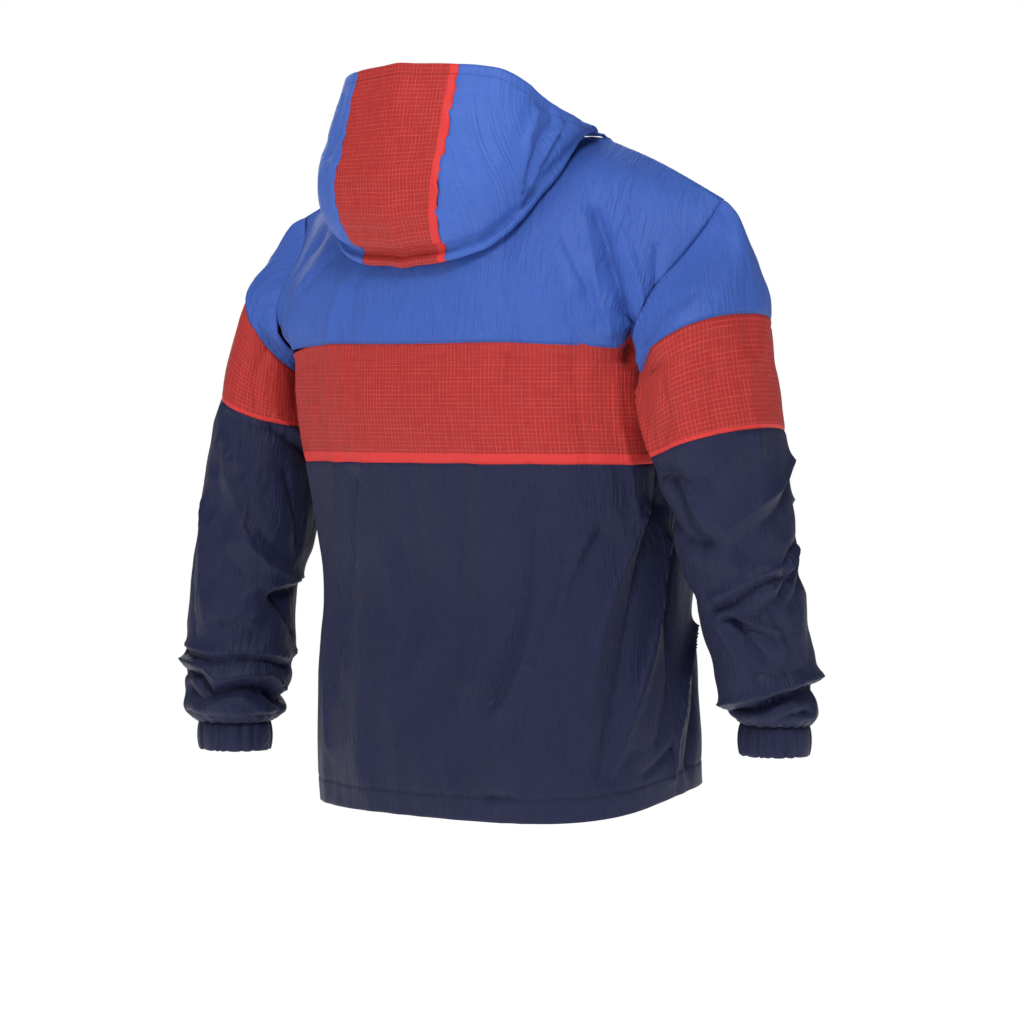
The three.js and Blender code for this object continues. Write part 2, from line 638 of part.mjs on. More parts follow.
// A cloth wall: outer points, inner points a wall's thickness in, and rims all round
function wallGeometry(rows, normals, closed, flip) {
  const last = rows.length - 1;
  const end = rows[0].length - 1;
  // Half the seam's gap, square to the seam and along the surface
  const inFromEdge = (i, j, [i0, j0], [i1, j1], [i2, j2]) => {
    const along = rows[i2][j2].clone().sub(rows[i1][j1]).normalize();
    const move = rows[i0][j0].clone().sub(rows[i][j]);
    const square = new THREE.Vector3().crossVectors(normals[i][j], along).normalize();
    return square.multiplyScalar(Math.sign(square.dot(move)) * SEAM_GAP / 2);
  };
  const pull = (i, j) => {
    const move = new THREE.Vector3();
    const before = closed ? (j + end) % (end + 1) : Math.max(j - 1, 0);
    const after = closed ? (j + 1) % (end + 1) : Math.min(j + 1, end);
    const below = Math.max(i - 1, 0);
    const above = Math.min(i + 1, last);
    if (i === 0) move.add(inFromEdge(i, j, [1, j], [i, before], [i, after]));
    if (i === last) move.add(inFromEdge(i, j, [last - 1, j], [i, before], [i, after]));
    if (!closed && j === 0) move.add(inFromEdge(i, j, [i, 1], [below, j], [above, j]));
    if (!closed && j === end) move.add(inFromEdge(i, j, [i, end - 1], [below, j], [above, j]));
    return move;
  };
  const count = rows[0].length;
  const outer = [];
  const inner = [];
  rows.forEach((row, i) => row.forEach((point, j) => {
    const place = point.clone().add(pull(i, j));
    outer.push(place);
    inner.push(place.clone().addScaledVector(normals[i][j], -WALL));
  }));
  const vertices = [...outer, ...inner];
  const total = outer.length;
  const triangles = [];
  const quad = (a, b, c, d) => {
    if (flip) triangles.push([a, c, b], [a, d, c]);
    else triangles.push([a, b, c], [a, c, d]);
  };
  const at = (i, j) => i * count + (j % count);
  for (const face of facesOf(rows, closed)) {
    const [a, b, c, d] = face.map(([i, j]) => at(i, j));
    quad(a, b, c, d);
    quad(total + a, total + d, total + c, total + b);
  }
  // Both pieces at a seam split its rim along the same diagonal, so that a twisted rim stays clear
  const places = rows.flat();
  const order = (k) => places[k].x + places[k].y * Math.SQRT2 + places[k].z * Math.PI;
  const rim = (a, b) => {
    const [c, d] = [total + b, total + a];
    const parts = order(a) < order(b) ? [[a, b, c], [a, c, d]] : [[a, b, d], [b, c, d]];
    for (const [p, q, r] of parts) triangles.push(flip ? [p, r, q] : [p, q, r]);
  };
  const width = closed ? count : count - 1;
  for (let j = 0; j < width; j += 1) {
    rim(at(0, j + 1), at(0, j));
    rim(at(last, j), at(last, j + 1));
  }
  for (let i = 0; !closed && i < last; i += 1) {
    rim(at(i, 0), at(i + 1, 0));
    rim(at(i + 1, end), at(i, end));
  }
  const geometry = new THREE.BufferGeometry();
  geometry.setAttribute('position', new THREE.Float32BufferAttribute(vertices.flatMap((v) => [v.x, v.y, v.z]), 3));
  geometry.setIndex(triangles.flat());
  return geometry;
}

const jacket = new THREE.Group();

function addMesh(name, geometry, finish) {
  const mesh = new THREE.Mesh(geometry, new THREE.MeshStandardMaterial(FINISH[finish]));
  mesh.name = name;
  jacket.add(mesh);
  return mesh;
}

// Cuts a surface into its pieces by ranges of rows or columns
function addPieces(surface, normals, pieces) {
  const { rows, closed, flip } = surface;
  const last = rows.length - 1;
  for (const { name, finish, fromRow = 0, toRow = last, fromColumn = 0, toColumn = rows[0].length - 1 } of pieces) {
    const cut = (grid) => grid.slice(fromRow, toRow + 1).map((row) => row.slice(fromColumn, toColumn + 1));
    addMesh(name, wallGeometry(cut(rows), cut(normals), closed, flip), finish);
  }
}

const LOWER_TOP = 1 + ROWS.lower;
const STRIPE_TOP = LOWER_TOP + ROWS.stripe + ROWS.stripeAbovePit;
const sleeves = { right: sleeveRows('right', -1), left: sleeveRows('left', 1) };
const surfaces = {
  back: { rows: BACK, closed: false, flip: true },
  frontLeft: { rows: FRONT_LEFT, closed: false, flip: false },
  frontRight: { rows: FRONT_RIGHT, closed: false, flip: true },
  sleeveLeft: { rows: sleeves.left, closed: true, flip: false },
  sleeveRight: { rows: sleeves.right, closed: true, flip: true },
};
const shared = new Map();
Object.values(surfaces).forEach((surface) => addNormals(shared, surface));

function panelPieces(stem) {
  return [
    { name: `${stem}_lower`, finish: 'navy', toRow: LOWER_TOP },
    { name: `${stem}_stripe`, finish: 'red', fromRow: LOWER_TOP, toRow: STRIPE_TOP },
    { name: `${stem}_yoke`, finish: 'blue', fromRow: STRIPE_TOP },
  ];
}

function sleevePieces(stem) {
  const capEnd = SLEEVE_ROWS.cap;
  const stripeEnd = capEnd + SLEEVE_ROWS.stripe;
  return [
    { name: `${stem}_cap`, finish: 'blue', toRow: capEnd },
    { name: `${stem}_stripe`, finish: 'red', fromRow: capEnd, toRow: stripeEnd },
    { name: `${stem}_lower`, finish: 'navy', fromRow: stripeEnd },
  ];
}

addPieces(surfaces.back, normalsFor(surfaces.back, shared), panelPieces('back'));
addPieces(surfaces.frontLeft, normalsFor(surfaces.frontLeft, shared), panelPieces('front_left'));
addPieces(surfaces.frontRight, normalsFor(surfaces.frontRight, shared), panelPieces('front_right'));
addPieces(surfaces.sleeveLeft, normalsFor(surfaces.sleeveLeft, shared), sleevePieces('sleeve_left'));
addPieces(surfaces.sleeveRight, normalsFor(surfaces.sleeveRight, shared), sleevePieces('sleeve_right'));

// Pieces whose normals are their own
function addAlone(rows, closed, flip, pieces) {
  const surface = { rows, closed, flip };
  const sums = new Map();
  addNormals(sums, surface);
  addPieces(surface, normalsFor(surface, sums), pieces);
}

addAlone(cuffRows('left', 1), true, false, [{ name: 'cuff_left', finish: 'navy' }]);
addAlone(cuffRows('right', -1), true, true, [{ name: 'cuff_right', finish: 'navy' }]);
addAlone(tapeRows(FRONT_LEFT, 1), false, false, [{ name: 'zip_tape_left', finish: 'tape' }]);
addAlone(tapeRows(FRONT_RIGHT, -1), false, true, [{ name: 'zip_tape_right', finish: 'tape' }]);

const hood = hoodRows();
const bandStart = hood.angles.findIndex((angle) => Math.round(angle) >= -HOOD_BAND);
const bandEnd = hood.angles.findLastIndex((angle) => Math.round(angle) <= HOOD_BAND);
addAlone(hood.rows, false, true, [
  { name: 'hood_side_right', finish: 'blue', toColumn: bandStart },
  { name: 'hood_centre', finish: 'red', fromColumn: bandStart, toColumn: bandEnd },
  { name: 'hood_side_left', finish: 'blue', fromColumn: bandEnd },
]);

// Zip slider and pull tab
const wasm = await Module();
wasm.setup();

function solidOf(geometry) {
  const bare = geometry.clone();
  bare.deleteAttribute('normal');
  bare.deleteAttribute('uv');
  const merged = mergeVertices(bare, WELD.solids);
  return new wasm.Manifold(new wasm.Mesh({
    numProp: 3,
    vertProperties: new Float32Array(merged.attributes.position.array),
    triVerts: new Uint32Array(merged.index.array),
  }));
}

function geometryOf(solid) {
  const mesh = solid.getMesh();
  const geometry = new THREE.BufferGeometry();
  geometry.setAttribute('position', new THREE.BufferAttribute(new Float32Array(mesh.vertProperties), 3));
  geometry.setIndex(new THREE.BufferAttribute(new Uint32Array(mesh.triVerts), 1));
  return geometry;
}

function boxAt(width, depth, height, x, y, z) {
  return new THREE.BoxGeometry(width, depth, height).translate(x, y, z);
}

function roundAlongX(radius, length, y, z) {
  return new THREE.CylinderGeometry(radius, radius, length, ROUND_SIDES).rotateZ(Math.PI / 2).translate(0, y, z);
}

// The pin lies across the slider, clear of its plate
const PIN_OUT = SLIDER.thick + SLIDER.pinOut;

function sliderGeometry() {
  const plate = solidOf(boxAt(SLIDER.width, SLIDER.thick, SLIDER.length, 0, -SLIDER.thick / 2, 0));
  const span = TAB.eyeWidth + TAB.play + SLIDER.lug;
  const lugDepth = SLIDER.lugHeight + SLIDER.sink;
  let slider = plate;
  for (const side of [-1, 1]) {
    const lug = boxAt(
      SLIDER.lug, lugDepth, SLIDER.lugLength,
      side * span / 2, -SLIDER.thick - lugDepth / 2 + SLIDER.sink, SLIDER.pinUp,
    );
    slider = slider.add(solidOf(lug));
  }
  return geometryOf(slider.add(solidOf(roundAlongX(SLIDER.pin, span, -PIN_OUT, SLIDER.pinUp))));
}

function tabGeometry() {
  const blade = TAB.length - TAB.neck;
  const neckLength = TAB.neck - TAB.bore;
  const solid = solidOf(roundAlongX(TAB.eye, TAB.eyeWidth, 0, 0))
    .add(solidOf(boxAt(TAB.eyeWidth, TAB.thick, neckLength, 0, 0, -TAB.bore - neckLength / 2)))
    .add(solidOf(boxAt(TAB.width, TAB.thick, blade, 0, 0, -TAB.neck - blade / 2)));
  const bore = solidOf(roundAlongX(TAB.bore, 2 * TAB.eyeWidth, 0, 0));
  const hole = solidOf(boxAt(TAB.hole.width, 2 * TAB.thick, TAB.hole.length, 0, 0, TAB.hole.fromEnd - TAB.length));
  return geometryOf(solid.subtract(bore).subtract(hole));
}

// The slider lies on the coils near the top of the zip, leaning as the front does there
function zipLine() {
  const line = FRONT_LEFT.map((row) => new THREE.Vector3(0, row[0].y - ZIP.ridge, row[0].z));
  const top = line[line.length - 1];
  let i = line.length - 1;
  while (line[i].distanceTo(top) < SLIDER.fromTop) i -= 1;
  const along = line[i + 1].clone().sub(line[i]).normalize();
  const place = line[i].clone().lerp(line[i + 1], 0.5);
  return { place, along };
}

const zip = zipLine();
const lean = Math.atan2(zip.along.y, zip.along.z);
const sliderGroup = new THREE.Group();
sliderGroup.position.copy(zip.place);
sliderGroup.rotation.x = -lean;
sliderGroup.translateY(-SLIDER.clear);
const sliderMesh = addMesh('zip_slider', sliderGeometry(), 'metal');
sliderGroup.add(sliderMesh);
const tabMesh = addMesh('zip_pull_tab', tabGeometry(), 'metal');
tabMesh.position.set(0, -PIN_OUT, SLIDER.pinUp);
tabMesh.rotation.x = -THREE.MathUtils.degToRad(TAB.lean);
sliderGroup.add(tabMesh);
jacket.add(sliderGroup);

export default jacket;
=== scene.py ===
"""Looks for a hooded nylon windbreaker, filled out with nobody in it. Metres, +Z up, front -Y."""
import math
from collections import namedtuple

import bmesh
import bpy
import numpy as np
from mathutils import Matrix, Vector, noise

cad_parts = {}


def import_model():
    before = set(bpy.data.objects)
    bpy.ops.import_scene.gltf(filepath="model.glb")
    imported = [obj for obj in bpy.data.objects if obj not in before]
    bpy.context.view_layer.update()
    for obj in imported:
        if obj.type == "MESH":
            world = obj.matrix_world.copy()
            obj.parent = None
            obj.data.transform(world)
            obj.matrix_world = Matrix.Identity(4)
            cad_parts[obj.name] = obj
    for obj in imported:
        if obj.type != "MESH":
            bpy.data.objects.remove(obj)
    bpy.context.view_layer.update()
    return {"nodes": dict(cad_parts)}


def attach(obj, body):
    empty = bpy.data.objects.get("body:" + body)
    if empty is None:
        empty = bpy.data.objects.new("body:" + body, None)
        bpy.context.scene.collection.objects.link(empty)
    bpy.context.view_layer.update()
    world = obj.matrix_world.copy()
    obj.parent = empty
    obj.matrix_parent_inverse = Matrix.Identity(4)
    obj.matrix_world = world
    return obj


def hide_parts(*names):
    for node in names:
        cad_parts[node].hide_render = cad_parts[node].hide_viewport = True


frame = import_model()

MM = 0.001

# Cloth
CAD_WALL = 1.5 * MM
SHELL = 0.5 * MM
CELL = 2.88 * MM
SEAM_GAP = 0.3 * MM
SEAM_LAP = 0.7 * MM
SEAM_TUCK = 0.5 * MM
HEM_TURN = 25 * MM
HOOD_OUTER = 0.52
HOOD_REACH = 16

# Camera and light
CAMERA_YAW = 38
CAMERA_PITCH = 2
CAMERA_DISTANCE = 3.5
CAMERA_AIM = Vector((0, 0, -0.396))
CAMERA_SIDE = 3 * MM
CAMERA_LENS = 118.125
FLOOR = -1.55

# A crease is a soft trough (negative depth) or ridge along a line of points, in millimetres.
# On the body and sleeves a point is (degrees round, height): round the body from the middle of
# the back towards the wearer's left, round a sleeve from its outside towards the back.
Crease = namedtuple("Crease", "points width depth end", defaults=(None,))
Crinkles = namedtuple("Crinkles", "stretch crest thin")

BODY_CREASES = [
    # Lower back, from the wearer's left to the right
    Crease([(37, -345), (44, -410), (50, -470), (52, -570), (50, -640)], 6, 2.4, 1.4),
    Crease([(30, -362), (37, -430), (44, -500), (46, -575)], 9, -3.0, -1.6),
    Crease([(23, -345), (30, -420), (38, -468), (42, -520), (40, -560)], 5, 2.2, 1.0),
    Crease([(55, -170), (56, -240), (57, -330), (58, -430), (58, -520), (58, -560)], 20, 4.6, 1.0),
    Crease([(69, -420), (71, -500), (70, -600)], 8, -2.2, -1.4),
    Crease([(11, -420), (9, -470), (3, -520)], 6, -1.6, -0.8),
    Crease([(16, -450), (13, -520), (14, -600)], 7, 1.2, 0.6),
    Crease([(2, -350), (0, -430), (-3, -500)], 11, -1.2, -0.8),
    Crease([(-21, -350), (-19, -450), (-17, -560), (-19, -640)], 15, -2.6, -1.4),
    Crease([(-29, -350), (-27, -450), (-25, -560)], 14, 1.6, 1.2),
    Crease([(-45, -360), (-44, -440), (-42, -490), (-37, -535), (-32, -577)], 7, -1.6, -4.4),
    Crease([(-50, -430), (-47, -500), (-42, -545), (-36, -585)], 9, 1.4, 2.6),
    Crease([(-55, -430), (-50, -490), (-44, -540)], 6, -1.6, -2.4),
    Crease([(-65, -410), (-59, -452), (-56, -480)], 5, -2.6, -1.2),
    Crease([(-61, -412), (-55, -455), (-52, -490)], 5, 1.4, 0.8),
    Crease([(-78, -385), (-75, -420), (-70, -468), (-65, -520), (-61, -585), (-59, -650)], 7, 4.2, 1.8),
    Crease([(-84, -385), (-80, -440), (-75, -505), (-70, -570), (-65, -645)], 10, -6.0, -2.6),
    Crease([(-89, -420), (-87, -490), (-83, -535), (-75, -592), (-68, -648)], 6, 4.0, 1.6),
    Crease([(-95, -400), (-92, -480), (-90, -560), (-84, -620)], 7, -5.0, -2.0),
    Crease([(-108, -510), (-97, -562), (-92, -620), (-90, -660)], 5, 4.6, 2.0),
    Crease([(-116, -500), (-106, -580), (-99, -645)], 9, -7.0, -4.0),
    Crease([(-90, -630), (-84, -642), (-78, -652)], 4, -2.6, -1.0),
    Crease([(-75, -628), (-68, -656)], 4, -1.6, -1.0),
    Crease([(-30, -675), (-38, -672)], 3, -1.6),
    # Stripe
    Crease([(45, -235), (43, -300), (46, -338)], 8, -1.4, -0.8),
    Crease([(-36, -240), (-38, -300), (-44, -345)], 10, -1.2, -1.2),
    Crease([(-55, -240), (-57, -290), (-60, -338)], 9, -1.8, -1.2),
    Crease([(-77, -262), (-79, -300), (-82, -345), (-84, -385)], 7, -2.0, -5.0),
    Crease([(-66, -250), (-67, -300), (-72, -350), (-75, -395)], 8, 0.8, 2.6),
    Crease([(74, -250), (76, -300), (74, -345), (70, -400)], 9, -2.0, -2.0),
    # Yoke and armpits
    Crease([(-64.8, -92), (-64.7, -120), (-64.3, -143), (-64.1, -172), (-64.8, -194), (-67.3, -220), (-70.4, -240)], 4.6, -3.6, -10.5),
    Crease([(-61.5, -100), (-60.5, -143), (-60.5, -185), (-63, -215)], 5, 1.2, 2.6),
    Crease([(-68.5, -112), (-68.2, -150), (-68.5, -190), (-71, -222)], 4, 1.2, 2.6),
    Crease([(-75, -128), (-71.5, -165), (-70.5, -190)], 3.5, -2.0, -2.6),
    Crease([(-53.5, -112), (-55.5, -140), (-58.4, -170), (-60.0, -205)], 4.2, -0.8, -2.4),
    Crease([(-50, -150), (-52, -190), (-57, -225)], 7, -1.6, -1.2),
    Crease([(-35, -165), (-38, -200), (-37, -240)], 8, -1.2, -0.8),
    Crease([(45, -135), (52, -165), (60, -200)], 8, -2.2, -1.6),
    Crease([(33, -165), (36, -200), (36, -230)], 7, 1.6, 1.2),
    Crease([(26, -160), (27, -200), (25, -232)], 7, -1.6, -1.2),
    Crease([(64, -110), (66, -160), (66, -200), (70, -240)], 8, -1.4, -2.2),
    # Fronts
    Crease([(-118, -110), (-119, -160), (-118, -205), (-112, -245)], 8, -2.4, -6.0),
    Crease([(118, -110), (119, -160), (118, -205), (112, -245)], 8, -2.0, -5.0),
    Crease([(-135, -150), (-131, -200), (-124, -240)], 7, -1.8, -2.4),
    Crease([(133, -150), (130, -195), (124, -236)], 7, -2.0, -2.2),
    Crease([(-126, -260), (-132, -350), (-138, -460), (-140, -600)], 10, -2.8, -2.0),
    Crease([(-134, -300), (-142, -420), (-150, -540)], 8, 2.4, 1.4),
    Crease([(-150, -380), (-154, -470), (-152, -580), (-156, -650)], 8, -2.2, -1.4),
    Crease([(-163, -330), (-166, -450), (-162, -560)], 9, 1.6, 1.2),
    Crease([(126, -270), (132, -370), (141, -480), (143, -610)], 9, -3.2, -1.8),
    Crease([(136, -330), (146, -430), (152, -560), (150, -640)], 7, 2.4, 1.2),
    Crease([(156, -400), (159, -500), (155, -600)], 8, -2.0, -1.6),
    Crease([(104, -380), (100, -460), (104, -560), (100, -650)], 9, -5.0, -2.4),
    Crease([(92, -370), (94, -470), (95, -580), (92, -650)], 7, 3.0, 1.6),
    Crease([(84, -380), (82, -470), (85, -580), (82, -660)], 8, -4.0, -1.8),
]

RIGHT_SLEEVE_CREASES = [
    Crease([(132, -232), (128, -290), (118, -340)], 15, 5.5, 2.5),
    # Cap and stripe, fanning out of the armpit
    Crease([(124, -228), (108, -208), (88, -190), (58, -174)], 6, -3.4, -1.2),
    Crease([(118, -240), (96, -226), (74, -212), (50, -205)], 6, 2.4, 1.0),
    Crease([(112, -252), (92, -242), (70, -232)], 6, -2.2, -1.0),
    Crease([(140, -205), (128, -182), (112, -165)], 6, -2.6, -1.2),
    Crease([(20, -140), (30, -180), (26, -225)], 8, -1.4, -1.0),
    Crease([(-60, -150), (-48, -190), (-52, -240)], 9, -2.6, -1.8),
    Crease([(98, -262), (96, -290), (104, -318)], 7, -2.4, -2.0),
    Crease([(62, -250), (66, -290), (62, -330)], 9, -1.4, -1.2),
    Crease([(30, -245), (34, -285), (28, -325)], 9, 1.4, 1.0),
    Crease([(130, -270), (124, -300), (116, -332)], 6, 2.6, 2.0),
    # Upper forearm and elbow
    Crease([(116, -352), (103, -350), (91, -357)], 4, -3.2, -2.0),
    Crease([(107, -357), (102, -382), (98, -406), (91, -416)], 8, -7.0, -5.0),
    Crease([(126, -396), (112, -412), (94, -421), (78, -416)], 6, -3.6, -1.6),
    Crease([(92, -364), (88, -385), (84, -405)], 6, 3.4, 2.0),
    Crease([(78, -352), (70, -372), (72, -392)], 6, -1.8, -1.0),
    Crease([(-34, -338), (0, -360), (35, -378), (69, -406)], 7, 3.4, 1.8),
    Crease([(-24, -356), (10, -380), (40, -400), (62, -424)], 9, -2.8, -2.4),
    Crease([(-28, -410), (5, -425), (23, -440), (17, -449)], 4, -4.5, -2.8),
    Crease([(16, -451), (31, -451), (55, -461), (73, -473), (99, -483)], 5, -3.2, -5.2),
    Crease([(24, -441), (50, -448), (74, -461), (96, -472)], 6, 2.8, 3.0),
    Crease([(-24, -426), (8, -453), (36, -475), (56, -489)], 5, -4.5, -2.0),
    Crease([(-16, -417), (14, -445), (38, -463)], 5, 2.4, 1.6),
    Crease([(-30, -446), (-6, -460), (14, -478)], 7, -3.4, -2.0),
    Crease([(92, -487), (67, -494), (42, -503)], 4, 3.4, 1.8),
    Crease([(90, -493), (66, -502), (46, -510)], 5, -4.0, -2.0),
    Crease([(84, -494), (73, -512), (61, -533)], 6, -4.2, -3.2),
    Crease([(98, -498), (90, -520), (78, -545)], 7, 2.2, 1.6),
    Crease([(34, -500), (28, -520), (40, -542)], 6, -2.8, -1.8),
    # Stacked cloth over the cuff
    Crease([(-40, -552), (-12, -553), (20, -553), (52, -560), (88, -570), (134, -580)], 7, 4.0, 3.6),
    Crease([(-44, -562), (-14, -563), (18, -565), (52, -572), (88, -583), (140, -591)], 5, -7.5, -7.5),
    Crease([(33, -571), (60, -580)], 4, 2.8, 1.6),
    Crease([(8, -584), (30, -586), (54, -593)], 4, -3.4, -2.4),
    Crease([(70, -545), (50, -549), (20, -541)], 5, -2.6, -1.6),
    # Front and inside of the arm
    Crease([(-70, -300), (-84, -340), (-110, -370)], 9, -3.6, -2.4),
    Crease([(-52, -390), (-84, -412), (-124, -426), (-160, -420)], 8, -5.0, -4.0),
    Crease([(-48, -378), (-80, -398), (-120, -410)], 7, 2.8, 2.0),
    Crease([(-60, -452), (-92, -470), (-130, -470)], 7, -4.4, -3.0),
    Crease([(-170, -440), (-200, -462), (-225, -478)], 8, -5.0, -4.0),
    Crease([(-70, -510), (-100, -522), (-140, -516)], 7, -3.4, -2.4),
    Crease([(-70, -556), (-110, -562), (-150, -572), (-200, -586)], 6, -6.0, -6.0),
    Crease([(-66, -546), (-108, -550), (-150, -560), (-198, -574)], 7, 3.6, 3.0),
]

LEFT_SLEEVE_CREASES = [
    Crease([(124, -194), (108, -180), (84, -168)], 6, -2.8, -1.2),
    Crease([(118, -209), (100, -201), (80, -193)], 6, 2.0, 1.0),
    Crease([(150, -180), (138, -160), (120, -144)], 6, -2.8, -1.4),
    Crease([(30, -150), (36, -200), (30, -250)], 9, -1.8, -1.2),
    Crease([(-60, -140), (-50, -190), (-56, -240)], 9, -2.6, -1.8),
    Crease([(110, -226), (106, -256), (112, -286)], 8, -1.8, -1.4),
    Crease([(150, -228), (146, -256), (152, -286)], 7, -2.4, -2.0),
    Crease([(131, -298), (155, -312), (178, -324)], 5, 3.2, 2.6),
    Crease([(130, -310), (155, -326), (180, -338)], 5, -3.4, -3.6),
    Crease([(94, -340), (104, -376), (113, -407), (129, -436), (150, -455), (187, -471)], 6, 3.4, 2.6),
    Crease([(112, -350), (126, -404), (146, -434), (172, -452)], 7, -1.6, -1.6),
    Crease([(84, -352), (92, -400), (104, -440), (126, -466)], 8, -2.0, -1.4),
    Crease([(208, -320), (211, -400), (212, -470)], 14, 3.4, 2.2),
    Crease([(153, -356), (160, -378), (169, -400), (183, -434)], 6, -3.0, -2.6),
    Crease([(66, -390), (76, -450), (92, -520)], 7, 2.0, 1.2),
    Crease([(52, -400), (60, -470), (74, -530)], 8, -2.2, -1.4),
    Crease([(160, -491), (180, -488), (206, -481)], 6, -6.0, -4.5),
    Crease([(158, -480), (180, -476), (204, -470)], 6, 3.0, 2.4),
    Crease([(170, -496), (184, -512), (198, -530)], 8, -4.6, -3.6),
    Crease([(105, -509), (125, -511), (144, -519)], 4, 2.2, 1.2),
    Crease([(106, -518), (126, -520), (142, -527)], 5, -1.8, -1.2),
    # Stacked cloth over the cuff
    Crease([(50, -545), (80, -547), (101, -550), (134, -548), (160, -551), (186, -557)], 5, 2.4, 2.4),
    Crease([(48, -552), (80, -555), (101, -560), (134, -557), (160, -560), (187, -567)], 4, -3.8, -4.2),
    Crease([(40, -562), (69, -562), (95, -566), (112, -580), (136, -574), (165, -574), (192, -592)], 5, 3.4, 3.4),
    Crease([(38, -574), (69, -573), (88, -575), (101, -595), (132, -587), (161, -586), (192, -607)], 5, -6.5, -6.5),
    Crease([(66, -592), (90, -601)], 6, -5.0, -3.0),
    Crease([(153, -593), (184, -599)], 6, -5.0, -4.0),
    Crease([(104, -604), (130, -599), (148, -603)], 6, 3.0, 2.6),
    Crease([(50, -618), (100, -621), (140, -623), (192, -620)], 3, -2.4, -2.4),
    # Outside and front of the arm
    Crease([(10, -380), (-24, -400), (-50, -430)], 8, -3.4, -2.6),
    Crease([(-60, -420), (-90, -436), (-130, -440)], 8, -4.6, -3.4),
    Crease([(-58, -406), (-88, -422), (-128, -426)], 6, 2.8, 2.0),
    Crease([(20, -470), (-10, -484), (-60, -490), (-110, -484)], 7, -3.6, -4.0),
    Crease([(10, -556), (-40, -560), (-90, -556), (-150, -566)], 5, -4.6, -4.6),
    Crease([(12, -546), (-40, -549), (-90, -546), (-150, -554)], 6, 2.8, 2.6),
    Crease([(0, -592), (-50, -588), (-110, -594), (-160, -604)], 6, -5.5, -5.5),
]

# The hood's creases, as points in space on its outer layer
HOOD_CREASES = [
    # The wearer's right side: a flat lobe, then folds gathered towards the neck
    Crease([(-126, 116, 4), (-127, 131, -21), (-128, 139, -47), (-121, 137, -77), (-115, 131, -93)], 5, 3.6, 3.0),
    Crease([(-115, 131, -93), (-102, 145, -107), (-89, 161, -114), (-75, 167, -119), (-58, 172, -124)], 4, 3.0, 2.0),
    Crease([(-131, 97, -2), (-132, 116, -20), (-131, 128, -38), (-127, 134, -60), (-122, 134, -74)], 4.5, -6.5, -5.0),
    Crease([(-135, 83, -6), (-135, 106, -26), (-133, 119, -46), (-126, 129, -65), (-121, 134, -77)], 3.5, 4.5, 3.5),
    Crease([(-134, 79, -3), (-137, 91, -16), (-135, 106, -34), (-132, 116, -49), (-126, 118, -64), (-119, 124, -80)], 4, -5.5, -4.5),
    Crease([(-110, 135, -98), (-98, 150, -111), (-84, 163, -119), (-64, 170, -126)], 4, -5.0, -3.0),
    Crease([(-124, 108, 13), (-129, 96, 8)], 5, -5.0, -7.0),
    Crease([(-60, 178, 14), (-86, 164, 16), (-108, 152, 1)], 4, -1.8, -0.8),
    Crease([(-60, 180, 4), (-80, 172, -4), (-103, 162, -14)], 4, 1.6, 0.6),
    Crease([(-60, 186, -14), (-84, 174, -22), (-108, 158, -30)], 5, -1.6, -1.0),
    Crease([(-62, 186, -36), (-93, 178, -58), (-111, 158, -80)], 6, -2.2, -1.4),
    Crease([(-60, 191, -60), (-85, 182, -86), (-101, 160, -102)], 5, 2.2, 1.4),
    Crease([(-58, 192, -84), (-78, 180, -104)], 4, -2.2, -1.0),
    # The middle band
    Crease([(80, 175, -12), (30, 190, -8), (-20, 190, -24), (-58, 184, -18)], 5, -1.8, -1.0),
    Crease([(70, 188, -46), (20, 194, -58), (-50, 190, -44)], 6, 1.5, 0.8),
    Crease([(50, 196, -79), (0, 198, -70), (-52, 194, -84)], 6, -1.5, -1.8),
    Crease([(62, 184, -108), (15, 188, -112), (-44, 188, -104)], 5, -2.0, -1.4),
    Crease([(20, 172, 46), (24, 190, 4), (10, 196, -60)], 9, 1.2, 0.8),
    Crease([(-34, 174, 34), (-36, 190, -20), (-30, 196, -80)], 8, -1.2, -0.8),
    # The wearer's left side
    Crease([(92, 172, -20), (106, 163, -32)], 6, -4.0, -4.0),
    Crease([(84, 150, 24), (96, 166, -20), (88, 172, -74)], 7, -2.2, -1.4),
    Crease([(108, 128, 18), (118, 140, -20), (110, 148, -66)], 6, 2.4, 1.6),
    Crease([(126, 112, 4), (130, 124, -30), (122, 134, -66)], 4, -5.0, -3.6),
    Crease([(133, 92, -6), (134, 108, -34), (124, 122, -70)], 4, 3.8, 2.8),
    Crease([(-120, 40, 4), (-118, 10, -8), (-112, -30, -22)], 6, -1.8, -1.4),
    Crease([(120, 40, 4), (118, 10, -8), (112, -30, -22)], 6, -1.8, -1.4),
]

# Colours, as linear values
BLUE = (0.039, 0.092, 0.358)
BLUE_LIGHT = (0.047, 0.107, 0.405)
# Painted light: the hood's blue is a lit copy of the yoke's blue, about 15% lighter, standing in for the light that
# falls on the hood
HOOD_BLUE_PAINTED_LIT = (0.045, 0.108, 0.400)
HOOD_BLUE_LIGHT_PAINTED_LIT = (0.054, 0.124, 0.450)
RED = (0.305, 0.0225, 0.0205)
RED_GRID = (0.590, 0.060, 0.052)
RED_BAND = (0.640, 0.040, 0.038)
NAVY = (0.0118, 0.0140, 0.0425)
NAVY_LIGHT = (0.0155, 0.0184, 0.0530)
TAPE = (0.018, 0.020, 0.048)
COIL = (0.022, 0.024, 0.050)
METAL = (0.060, 0.064, 0.080)


def smooth(x):
    x = np.clip(x, 0, 1)
    return x * x * (3 - 2 * x)


# The CAD walls give each cloth piece its net of rows and columns

def joined(faces):
    """Splits faces into groups that share edges."""
    left, groups = set(faces), []
    while left:
        group = [left.pop()]
        for face in group:
            for edge in face.edges:
                for other in edge.link_faces:
                    if other in left:
                        left.remove(other)
                        group.append(other)
        groups.append(group)
    return groups


